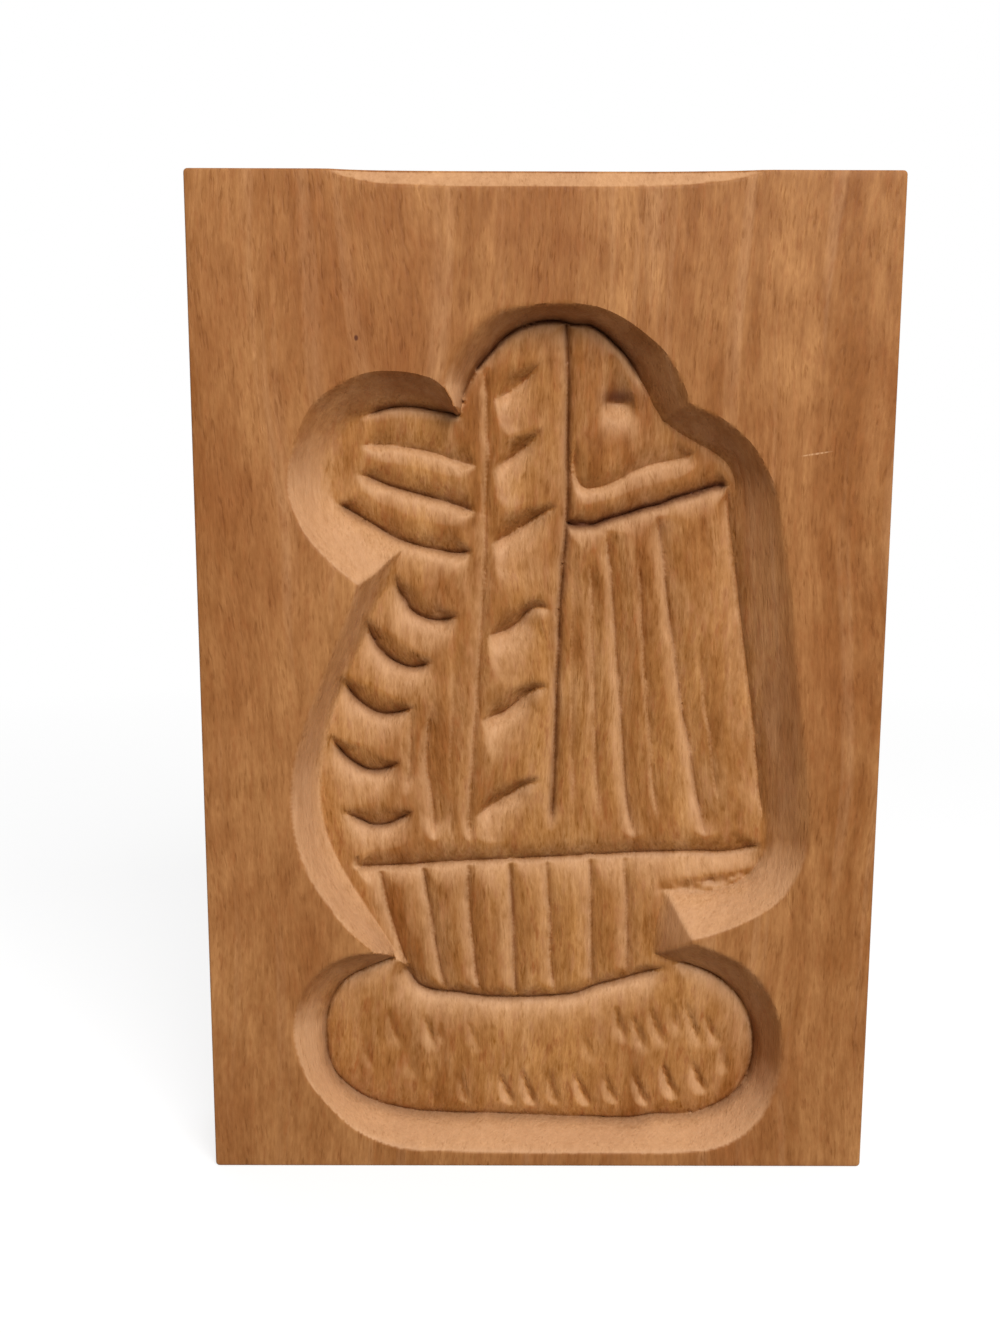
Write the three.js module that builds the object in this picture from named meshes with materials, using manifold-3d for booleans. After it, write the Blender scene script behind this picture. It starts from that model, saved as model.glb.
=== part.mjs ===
// A speculaas board: one plank of beech with a sailing boat hollowed into its front face.
// Units are millimetres. X runs to the right seen from the front, Z is up, and the carved
// face looks towards -Y. The plank stands on its lower end, with the origin under its middle.

import * as THREE from 'three'
import { mergeVertices } from 'three/addons/utils/BufferGeometryUtils.js'
import Module from 'manifold-3d'

const wasm = await Module()
wasm.setup()

// The plank round the hollow: its margins are measured from the hollow's rim.
const thickness = 25
const leftMargin = 16.5 // beside the sea
const rightMargin = 13 // beside the mainsail's foot
const headMargin = 24.6 // over the mast
const footMargin = 2.5 // under the sea
const arris = 0.7 // chamfer along every edge of the plank

// The hollow: how deep its bed lies, and how far its gouged walls lean out at the face.
const bedDepth = 8
const footLean = 4
const headLean = 2.4
const bowLean = 7.5 // the right-hand wall, beside the mainsail and under the bow
const sternLean = 6 // the left-hand wall, beside the foresail and the hull
const peakLean = 5 // the wall between the round head and the mainsail's peak
const flagLean = 7.5 // the wall round the flag
const seaLean = 6 // the walls at the ends of the sea and above it

// The sea under the boat, a long oval with a swelling bed.
const seaLength = 91
const seaHeight = 36
const seaCrown = 1.4 // how far its bed swells towards the face
const seaShoulder = 8 // how far in from its edge the swelling is full

// The hull, from its keel on the sea up to its deck.
const keelRise = 27 // the keel's height over the foot of the sea
const keelLength = 54
const keelSag = 5 // how far the keel hangs below its ends
const hullHeight = 30.5
const deckLength = 82.5
const deckSheer = 4 // the deck's rise from left to right
const sternOverhang = 11 // how far the deck reaches past the keel on the left
const bowDepth = 7 // the overhanging bow's depth under the deck
const plankSeams = 7

// The mast, and the round head of the hollow over it.
const mastHeight = 109
const mastWidth = 15.7
const mastRake = 3.3 // how far the mast leans to the right at its head
const mastStep = 20.7 // from the keel's left end to the mast's centre line
const mastStrokes = 6
const strokeRise = 7
const headRadius = 20
const headOffset = 6 // from the mast's centre line to the middle of the round head

// The mainsail, between the mast and the right-hand wall, under its gaff.
const sailHeight = 69.5
const sailFoot = 45
const gaffLength = 32.5
const gaffRise = 8
const topsailGap = 7.5 // between the gaff and the edge of the topsail over it
const topsailLength = 24
const dimpleRadius = 3
const dimpleDepth = 2.2

// The flag, a rounded lobe on the left of the mast with stripes across it.
const flagLength = 29
const flagHeight = 30
const flagFoot = 62.5 // the flag's lowest edge over the deck
const flagStripes = 3
const stripeSweep = 9 // how far the lowest stripe falls towards the mast

// The foresail, between the left-hand wall and the mast, with a scalloped edge.
const foresailHeight = 60
const foresailHead = 17
const foresailBelly = 31.5 // its width where it is widest
const bellyRise = 12 // the belly's height over the deck
const scallops = 5
const scallopWidth = 12.5
const scallopDrop = 8

// The knife and gouge cuts in the bed.
const grooveWidth = 4
const grooveDepth = 1.6
const creviceDepth = 2 // the deeper cuts between the mast, the sails and the hull
const foldWidth = 6
const foldDepth = 1
const gougeWidth = 3.6
const gougeLength = 6
const gougeDepth = 1
const gougeSpacing = 7.5

// The shallow scoop along the plank's upper front edge.
const scoopLength = 86
const scoopDrop = 2.7
const scoopDepth = 3
const scoopRunOut = 14

// How finely round stretches are faceted, and how far a cutter stands out of what it cuts.
const arcSteps = 8
const ovalSteps = 40
const proud = 1.5

// Heights, from the plank's lower end.
const seaFoot = footMargin + footLean
const keelZ = seaFoot + keelRise
const deckZ = keelZ + hullHeight
const bellyZ = deckZ + bellyRise
const foresailZ = deckZ + foresailHeight
const flagZ = deckZ + flagFoot
const gaffZ = deckZ + sailHeight
const peakZ = gaffZ + gaffRise
const topsailZ = gaffZ + topsailGap
const mastHeadZ = deckZ + mastHeight
const plankHeight = mastHeadZ + headLean + headMargin

const faceY = -thickness / 2
const bedY = faceY + bedDepth

const lerp = THREE.MathUtils.lerp

/** The mast's centre line at a height: it leans steadily from the deck to its head. */
const mastX = (z) => mastStep + (mastRake * (z - deckZ)) / mastHeight
const mastLeft = (z) => mastX(z) - mastWidth / 2
const mastRight = (z) => mastX(z) + mastWidth / 2

// Places from left to right, from the keel's left end.
const seaLeft = (keelLength - seaLength) / 2
const seaRight = seaLeft + seaLength
const deckLeft = -sternOverhang
const deckRight = deckLeft + deckLength
const flagLeft = mastLeft(flagZ) - flagLength
const headMiddle = mastX(mastHeadZ) + headOffset

// The plank's sides, measured from the rim where the hollow is widest: on the left that is
// the sea's end, and on the right it is the mainsail's foot.
const plankLeft = seaLeft - seaLean - leftMargin
const plankRight = mastRight(deckZ) + sailFoot + bowLean + rightMargin
const plankMiddle = (plankLeft + plankRight) / 2

/** The height of the deck line at a place along it. */
function deckAt(x) {
  return deckZ + (deckSheer * (x - mastStep)) / deckLength
}

/** The height of the keel line: a parabola, lowest a little before its middle. */
function keelAt(x) {
  const fromLowest = x / keelLength - 0.42
  return keelZ + keelSag * (2 * fromLowest) ** 2
}

/** The mainsail's outer edge at a height: a straight line from its foot to its peak. */
function sailEdge(z) {
  const foot = mastRight(deckZ) + sailFoot
  const peak = mastRight(gaffZ) + gaffLength
  return lerp(foot, peak, (z - deckZ) / (peakZ - deckZ))
}

/** The foresail's outer edge at a height: a quarter oval from its head down to its belly. */
function foresailEdge(z) {
  const up = THREE.MathUtils.clamp((z - bellyZ) / (foresailZ - bellyZ), 0, 1)
  return mastLeft(z) - lerp(foresailHead, foresailBelly, Math.sqrt(1 - up ** 2))
}

/** A solid from side faces between rings of points, as many in each, and a cap on each end. */
function loft(rings) {
  const count = rings[0].length
  const faces = []
  for (let r = 0; r < rings.length - 1; r++) {
    for (let i = 0; i < count; i++) {
      const a = r * count + i
      const b = r * count + ((i + 1) % count)
      faces.push([a, b, b + count], [a, b + count, a + count])
    }
  }
  const last = (rings.length - 1) * count
  const firstCap = capFaces(rings[0]).map(([a, b, c]) => [a, c, b])
  const lastCap = capFaces(rings[rings.length - 1]).map((face) => face.map((i) => last + i))
  return solid(rings.flat(), [...faces, ...firstCap, ...lastCap])
}

/** A ring's own faces, in the plane it spreads most in, turning the same way as the ring. */
function capFaces(ring) {
  const spread = new THREE.Box3().setFromPoints(ring).getSize(new THREE.Vector3())
  const [across, up] = ['x', 'y', 'z'].sort((p, q) => spread[q] - spread[p])
  const flat = ring.map((p) => new THREE.Vector2(p[across], p[up]))
  const turn = Math.sign(THREE.ShapeUtils.area(flat))
  return THREE.ShapeUtils.triangulateShape(flat, []).map(([a, b, c]) => {
    const same = Math.sign(THREE.ShapeUtils.area([flat[a], flat[b], flat[c]])) === turn
    return same ? [a, b, c] : [a, c, b]
  })
}

/** A solid from points and faces, turned the right way out by the sign of its volume. */
function solid(points, faces) {
  let volume = 0
  for (const [a, b, c] of faces) {
    volume += points[a].dot(new THREE.Vector3().crossVectors(points[b], points[c]))
  }
  const outward = volume > 0 ? faces : faces.map(([a, b, c]) => [a, c, b])
  const geometry = new THREE.BufferGeometry().setFromPoints(points)
  geometry.setIndex(outward.flat())
  return toManifold(geometry)
}

/** A closed three.js geometry as a solid that can be joined and cut. */
function toManifold(geometry) {
  const bare = geometry.clone()
  bare.deleteAttribute('normal')
  bare.deleteAttribute('uv')
  const merged = mergeVertices(bare, 1e-4)
  return new wasm.Manifold(
    new wasm.Mesh({
      numProp: 3,
      vertProperties: new Float32Array(merged.attributes.position.array),
      triVerts: new Uint32Array(merged.index.array)
    })
  )
}

/** A joined or cut solid as a three.js geometry. */
function toGeometry(manifold) {
  const mesh = manifold.getMesh()
  const geometry = new THREE.BufferGeometry()
  geometry.setAttribute('position', new THREE.BufferAttribute(mesh.vertProperties, 3))
  geometry.setIndex(new THREE.BufferAttribute(mesh.triVerts, 1))
  geometry.computeVertexNormals()
  return geometry
}

/** A closed outline with round corners, from corners given as [x, z, radius]. */
function roundedOutline(corners) {
  return corners.flatMap(([x, z, radius], i) => {
    const corner = new THREE.Vector2(x, z)
    const [beforeX, beforeZ] = corners[(i + corners.length - 1) % corners.length]
    const [afterX, afterZ] = corners[(i + 1) % corners.length]
    const back = new THREE.Vector2(beforeX, beforeZ).sub(corner)
    const on = new THREE.Vector2(afterX, afterZ).sub(corner)
    const halfAngle = back.angleTo(on) / 2
    const reach = Math.min(radius / Math.tan(halfAngle), 0.49 * back.length(), 0.49 * on.length())
    const start = corner.clone().addScaledVector(back.normalize(), reach)
    const end = corner.clone().addScaledVector(on.normalize(), reach)
    return new THREE.QuadraticBezierCurve(start, corner, end).getPoints(arcSteps)
  })
}

/** An oval between its left, right, foot and head. */
function oval(left, right, foot, head) {
  const middleX = (left + right) / 2
  const middleZ = (foot + head) / 2
  const curve = new THREE.EllipseCurve(middleX, middleZ, (right - left) / 2, (head - foot) / 2)
  return curve.getPoints(ovalSteps).slice(0, -1)
}

/** The rim over a bed outline: each point moves outwards by the lean of the side it faces. */
function leanOut(bed, { left = 0, right = 0, foot = 0, head = 0 }) {
  const turn = Math.sign(THREE.ShapeUtils.area(bed))
  return bed.map((p, i) => {
    const on = bed[(i + 1) % bed.length]
    const back = bed[(i + bed.length - 1) % bed.length]
    const along = on.clone().sub(back).normalize()
    const out = new THREE.Vector2(along.y, -along.x).multiplyScalar(turn)
    const leanX = out.x > 0 ? right : left
    const leanZ = out.y > 0 ? head : foot
    return new THREE.Vector2(p.x + out.x * leanX, p.y + out.y * leanZ)
  })
}

/** An outline drawn in towards its middle, so that its sides move in by one distance. */
function drawIn(outline, distance) {
  const box = new THREE.Box2().setFromPoints(outline)
  const middle = box.getCenter(new THREE.Vector2())
  const size = box.getSize(new THREE.Vector2())
  const scale = new THREE.Vector2(1 - (2 * distance) / size.x, 1 - (2 * distance) / size.y)
  return outline.map((p) => p.clone().sub(middle).multiply(scale).add(middle))
}

/** An outline's points at one depth. */
function ringAt(outline, y) {
  return outline.map((p) => new THREE.Vector3(p.x, y, p.y))
}

/** A hollow: bed and rim are outlines with as many points, joined by a leaning wall that
 *  carries on past the face at the same slope. A crown swells the bed inside its shoulder. */
function hollow(bed, rim, crown = 0, shoulder = 0) {
  const above = bed.map((p, i) => p.clone().lerp(rim[i], 1 + proud / bedDepth))
  const rings = [ringAt(bed, bedY), ringAt(rim, faceY), ringAt(above, faceY - proud)]
  if (crown > 0) rings.unshift(ringAt(drawIn(bed, shoulder), bedY - crown))
  return loft(rings)
}

/** A cut's section across its line: offsets from its middle, and depths into the bed. It has
 *  a wide shoulder and a sharp bottom. */
function section(width, depth) {
  return [
    [-0.5 * width, -proud],
    [-0.5 * width, 0],
    [-0.22 * width, 0.4 * depth],
    [0, depth],
    [0.22 * width, 0.4 * depth],
    [0.5 * width, 0],
    [0.5 * width, -proud]
  ]
}

/** A cut along a smooth line of points [x, z], which runs out over a quarter of its length at
 *  both ends. */
function cut(points, width, depth) {
  const curve = new THREE.SplineCurve(points.map(([x, z]) => new THREE.Vector2(x, z)))
  const steps = Math.max(arcSteps / 2, (points.length - 1) * 3)
  const rings = []
  for (let s = 0; s <= steps; s++) {
    const t = s / steps
    const at = curve.getPoint(t)
    const along = curve.getTangent(t)
    const size = Math.min(1, 0.1 + 3.6 * Math.min(t, 1 - t))
    const ring = section(width * size, depth * size)
    rings.push(ring.map(([off, deep]) => new THREE.Vector3(at.x - along.y * off, bedY + deep, at.y + along.x * off)))
  }
  return loft(rings)
}

/** The plank with its edges chamfered all round. */
function plank() {
  const shape = new THREE.Shape()
  shape.moveTo(plankLeft + arris, arris)
  shape.lineTo(plankRight - arris, arris)
  shape.lineTo(plankRight - arris, plankHeight - arris)
  shape.lineTo(plankLeft + arris, plankHeight - arris)
  shape.closePath()
  const geometry = new THREE.ExtrudeGeometry(shape, {
    depth: thickness - 2 * arris,
    bevelEnabled: true,
    bevelSize: arris,
    bevelThickness: arris,
    bevelSegments: 1
  })
  // The outline was drawn flat: stand it up, between the face and the back.
  geometry.rotateX(Math.PI / 2)
  geometry.translate(0, thickness / 2 - arris, 0)
  return toManifold(geometry)
}

/** The sea's hollow: a long oval with half-round ends. */
function seaHollow() {
  const head = seaFoot + seaHeight
  const radius = seaHeight / 2
  const bed = roundedOutline([
    [seaLeft, seaFoot, radius],
    [seaRight, seaFoot, radius],
    [seaRight, head, radius],
    [seaLeft, head, radius]
  ])
  const rim = leanOut(bed, { left: seaLean, right: seaLean, foot: footLean, head: seaLean })
  return hollow(bed, rim, seaCrown, seaShoulder)
}

/** The hollow of the hull and the foresail: its left side is one smooth line from the
 *  foresail's head over its belly and the stern down to the keel. */
function boatHollow() {
  const heights = [0.75, 0.5, 0.25].map((t) => lerp(bellyZ, foresailZ, t))
  const side = [
    ...heights.map((z) => new THREE.Vector2(foresailEdge(z), z)),
    new THREE.Vector2(foresailEdge(bellyZ), bellyZ),
    new THREE.Vector2(deckLeft - 2, deckZ),
    new THREE.Vector2(0, keelAt(0))
  ]
  const path = new THREE.Path()
  path.moveTo(mastX(foresailZ), foresailZ + scallopDrop)
  path.lineTo(foresailEdge(foresailZ), foresailZ)
  path.splineThru(side)
  for (const t of [0.25, 0.5, 0.75, 1]) path.lineTo(t * keelLength, keelAt(t * keelLength))
  path.lineTo(keelLength, deckZ)
  path.lineTo(mastX(deckZ), deckZ)
  const bed = path.getPoints(arcSteps / 2)
  return hollow(bed, leanOut(bed, { left: sternLean, right: footLean }))
}

/** The mast's hollow: a straight strip up into the round head. */
function mastHollow() {
  const top = mastHeadZ - headRadius
  const bed = [
    new THREE.Vector2(mastLeft(deckZ), deckZ),
    new THREE.Vector2(mastRight(deckZ), deckZ),
    new THREE.Vector2(mastRight(top), top),
    new THREE.Vector2(mastLeft(top), top)
  ]
  return hollow(bed, bed)
}

/** The flag's hollow: an oval lobe, whose wall leans out everywhere but at the mast. */
function flagHollow() {
  const right = mastX(flagZ)
  const head = flagZ + flagHeight
  const bed = oval(flagLeft, right, flagZ, head)
  const rim = oval(flagLeft - flagLean, right, flagZ - footLean, head + flagLean)
  return hollow(bed, rim)
}

/** The round head of the hollow, over the mast and the topsail. */
function headHollow() {
  const foot = mastHeadZ - 2 * headRadius
  const left = headMiddle - headRadius
  const right = headMiddle + headRadius
  const bed = oval(left, right, foot, mastHeadZ)
  return hollow(bed, oval(left - headLean, right + peakLean, foot, mastHeadZ + headLean))
}

/** The mainsail's hollow, with the overhanging bow at its foot and its peak at the top. */
function sailHollow() {
  const shoulderX = lerp(mastRight(peakZ), sailEdge(peakZ), 0.6)
  const shoulderZ = peakZ + 1.5 * topsailGap
  const bowZ = deckZ - bowDepth
  const edge = grooveWidth / 3
  const bed = roundedOutline([
    [mastX(deckZ), bowZ, 1],
    [deckRight - bowDepth / 2, bowZ, bowDepth],
    [sailEdge(deckZ) + edge, deckZ + deckSheer, 4],
    [sailEdge(peakZ) + edge, peakZ, 6],
    [shoulderX, shoulderZ, 6],
    [mastX(peakZ), shoulderZ, 1]
  ])
  return hollow(bed, leanOut(bed, { right: bowLean, foot: bowLean, head: peakLean }))
}

/** The cut along the keel, between the sea and the boat. */
function keelCut() {
  const stations = [0, 0.25, 0.5, 0.75, 1].map((t) => t * keelLength)
  return cut(stations.map((x) => [x, keelAt(x)]), grooveWidth, creviceDepth)
}

/** The deck line, across the whole boat. */
function deckCut() {
  const stations = [0, 0.25, 0.5, 0.75, 1].map((t) => lerp(deckLeft, deckRight, t))
  return cut(stations.map((x) => [x, deckAt(x)]), grooveWidth, creviceDepth)
}

/** The seams between the hull's planks: they lean out towards the stern, less and less. */
function plankCuts() {
  const cuts = []
  for (let i = 0; i < plankSeams; i++) {
    const keelX = (keelLength * (i + 0.2)) / (plankSeams + 0.3)
    const deckX = keelX - 0.75 * sternOverhang * (1 - i / plankSeams) ** 2
    const points = [
      [keelX, keelAt(keelX) + 2],
      [lerp(keelX, deckX, 0.35), lerp(keelZ, deckZ, 0.5)],
      [deckX, deckAt(deckX) - 1.5]
    ]
    cuts.push(cut(points, grooveWidth, grooveDepth))
  }
  return cuts
}

/** The mast's two long edges, and the slanting strokes across it. */
function mastCuts() {
  const cuts = [mastLeft, mastRight].map((edge) => {
    const top = edge === mastLeft ? mastHeadZ - 0.3 * headRadius : mastHeadZ
    const heights = [0, 0.33, 0.66, 1].map((t) => lerp(deckZ + 2, top - 1, t))
    return cut(heights.map((z) => [edge(z), z]), grooveWidth, creviceDepth)
  })
  for (let i = 0; i < mastStrokes; i++) {
    const up = lerp(0.09, 0.87, (i / (mastStrokes - 1)) ** 0.92)
    const z = deckZ + mastHeight * up
    const left = mastLeft(z) + 0.1 * mastWidth
    const right = mastRight(z) - 0.2 * mastWidth
    const points = [[left, z], [lerp(left, right, 0.5), z + 0.35 * strokeRise], [right, z + strokeRise]]
    cuts.push(cut(points, grooveWidth, grooveDepth))
  }
  return cuts
}

/** The gaff, the mainsail's outer edge, and the folds that fan out between them. */
function sailCuts() {
  const gaff = [0, 0.5, 1].map((t) => {
    const z = lerp(gaffZ, peakZ, t)
    return [lerp(mastRight(z), sailEdge(z), t), z - 0.1 * gaffRise * Math.sin(Math.PI * t)]
  })
  const edge = [0, 0.5, 1].map((t) => lerp(deckZ + deckSheer, peakZ, t))
  const cuts = [
    cut(gaff, grooveWidth, creviceDepth),
    cut(edge.map((z) => [sailEdge(z), z]), grooveWidth, creviceDepth)
  ]
  for (const [head, foot] of [[0.26, 0.38], [0.57, 0.7]]) {
    const points = [0, 0.5, 1].map((t) => {
      const z = lerp(deckZ + 4, gaffZ - 2, t)
      return [lerp(mastRight(z), sailEdge(z), lerp(foot, head, t)), z]
    })
    cuts.push(cut(points, foldWidth, foldDepth))
  }
  return cuts
}

/** The topsail's lower edge, a gap over the gaff, and the dimple in its middle. */
function topsailCuts() {
  const left = mastRight(gaffZ) + 2
  const points = [
    [left, topsailZ + 3],
    [left + 2, topsailZ],
    [left + 0.5 * topsailLength, topsailZ + 0.4 * gaffRise],
    [left + topsailLength, topsailZ + 0.8 * gaffRise]
  ]
  const dimple = new THREE.SphereGeometry(1, 12, 8)
  dimple.scale(dimpleRadius, dimpleDepth, dimpleRadius * 1.4)
  dimple.translate(left + 0.35 * topsailLength, bedY, topsailZ + 0.85 * headRadius)
  return [cut(points, grooveWidth, grooveDepth), toManifold(dimple)]
}

/** The flag's stripes: they fall from its outer edge towards the mast, the lowest one most. */
function flagCuts() {
  const cuts = []
  for (let i = 0; i < flagStripes; i++) {
    const sweep = (stripeSweep * (flagStripes - i)) / flagStripes
    const z = flagZ + (flagHeight * (i + 0.2)) / (flagStripes + 0.4)
    const right = mastLeft(z) - 1
    const left = right - flagLength * (0.95 - 0.09 * i)
    const points = [[left, z + sweep], [lerp(left, right, 0.45), z + 0.35 * sweep], [right, z]]
    cuts.push(cut(points, grooveWidth, grooveDepth))
  }
  return cuts
}

/** The foresail's scallops, a row of hanging arcs down its outer edge, and its one fold. */
function foresailCuts() {
  const cuts = []
  for (let i = 0; i < scallops; i++) {
    const z = deckZ + foresailHeight * lerp(0.12, 0.84, i / (scallops - 1))
    const left = foresailEdge(z + scallopDrop) + grooveWidth / 2
    const points = [
      [left, z + scallopDrop],
      [left + 0.17 * scallopWidth, z + 0.3 * scallopDrop],
      [left + 0.5 * scallopWidth, z],
      [left + scallopWidth, z + 0.15 * scallopDrop]
    ]
    cuts.push(cut(points, grooveWidth, grooveDepth))
  }
  const foldX = mastLeft(deckZ) - 0.26 * foresailBelly
  const heights = [0.05, 0.3, 0.55].map((t) => deckZ + t * foresailHeight)
  cuts.push(cut(heights.map((z) => [foldX, z]), foldWidth, foldDepth))
  return cuts
}

/** Gouge marks on the sea: slanting dashes in a row under the keel and one at its ends. */
function waveCuts() {
  const cuts = []
  const middle = (seaLeft + seaRight) / 2
  const marks = Math.floor((seaLength - seaHeight / 2) / gougeSpacing)
  for (const [row, up] of [0.3, 0.62].entries()) {
    for (let i = 0; i < marks - row; i++) {
      const x = middle + (i - (marks - 1 - row) / 2) * gougeSpacing
      const z = seaFoot + up * seaHeight
      const clearOfKeel = row === 0 || Math.abs(x - middle) > 0.3 * keelLength
      const points = [[x, z + gougeLength / 2], [x + gougeWidth / 2, z - gougeLength / 2]]
      if (clearOfKeel) cuts.push(cut(points, gougeWidth, gougeDepth))
    }
  }
  return cuts
}

/** The scoop along the plank's upper front edge: a wedge that runs out at both ends. */
function scoop() {
  const rings = []
  const slope = scoopDrop / scoopDepth
  for (let s = 0; s <= 2 * arcSteps; s++) {
    const off = lerp(-0.5, 0.5, s / (2 * arcSteps)) * scoopLength
    const fromEnd = Math.min(1, (scoopLength / 2 - Math.abs(off)) / scoopRunOut)
    const size = Math.sin((Math.PI / 2) * fromEnd)
    const low = plankHeight - scoopDrop * size
    const x = plankMiddle + off
    rings.push([
      new THREE.Vector3(x, faceY - proud, low - proud * slope),
      new THREE.Vector3(x, faceY + scoopDepth * size + proud, plankHeight + proud * slope),
      new THREE.Vector3(x, faceY - proud, plankHeight + proud * slope)
    ])
  }
  return loft(rings)
}

/** The carved board: the plank less its hollows, its cuts and its scoop. */
function carvedBoard() {
  const cutters = [
    seaHollow(),
    boatHollow(),
    mastHollow(),
    flagHollow(),
    headHollow(),
    sailHollow(),
    keelCut(),
    deckCut(),
    ...plankCuts(),
    ...mastCuts(),
    ...sailCuts(),
    ...topsailCuts(),
    ...flagCuts(),
    ...foresailCuts(),
    ...waveCuts(),
    scoop()
  ]
  const cutter = cutters.reduce((joined, next) => joined.add(next))
  return toGeometry(plank().subtract(cutter)).translate(-plankMiddle, 0, 0)
}

const beech = new THREE.MeshStandardMaterial({ color: 0xa66f45, roughness: 0.62, metalness: 0 })

const board = new THREE.Mesh(carvedBoard(), beech)
board.name = 'board'

const speculaasBoard = new THREE.Group()
speculaasBoard.add(board)

export default speculaasBoard
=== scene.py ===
"""Speculaas board: a biscuit mould with a sailing boat carved into one beech plank.

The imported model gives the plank's box. The carving is a height surface over the plank's front face,
worked out here in millimetres on the front face (x across, z up, depth into the wood) and turned to metres.
"""

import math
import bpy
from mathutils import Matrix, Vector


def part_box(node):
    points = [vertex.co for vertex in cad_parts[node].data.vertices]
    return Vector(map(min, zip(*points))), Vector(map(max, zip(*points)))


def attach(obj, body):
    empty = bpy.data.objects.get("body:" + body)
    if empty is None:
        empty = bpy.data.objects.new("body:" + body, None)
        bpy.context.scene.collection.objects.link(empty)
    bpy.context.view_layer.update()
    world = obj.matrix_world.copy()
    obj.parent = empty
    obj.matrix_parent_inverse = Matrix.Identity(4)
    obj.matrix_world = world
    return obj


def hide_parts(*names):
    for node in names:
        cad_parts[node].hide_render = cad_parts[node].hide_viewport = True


bl_info = {
    "name": "Speculaas board",
    "version": (1, 0, 0),
    "blender": (4, 5, 0),
    "location": "3D View > Sidebar > Speculaas board",
    "description": "A biscuit mould carved into one beech plank, its wood and its stage",
    "category": "Add Mesh",
}

from types import SimpleNamespace

import bpy
import numpy as np
from mathutils import Matrix, Vector
from mathutils.geometry import delaunay_2d_cdt

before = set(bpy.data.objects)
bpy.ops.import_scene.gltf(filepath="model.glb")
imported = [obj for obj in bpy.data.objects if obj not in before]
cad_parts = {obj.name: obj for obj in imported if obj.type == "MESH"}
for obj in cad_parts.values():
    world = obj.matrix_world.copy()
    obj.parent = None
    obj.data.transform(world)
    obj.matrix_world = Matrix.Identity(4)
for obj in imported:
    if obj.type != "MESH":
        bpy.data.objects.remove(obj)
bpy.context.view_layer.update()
PLANK_LOW, PLANK_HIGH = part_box("board")

MM = 0.001

# The size of the face that the lines below are drawn on, in mm.
DRAWN_FACE = (135.05, 200.0)

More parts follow.
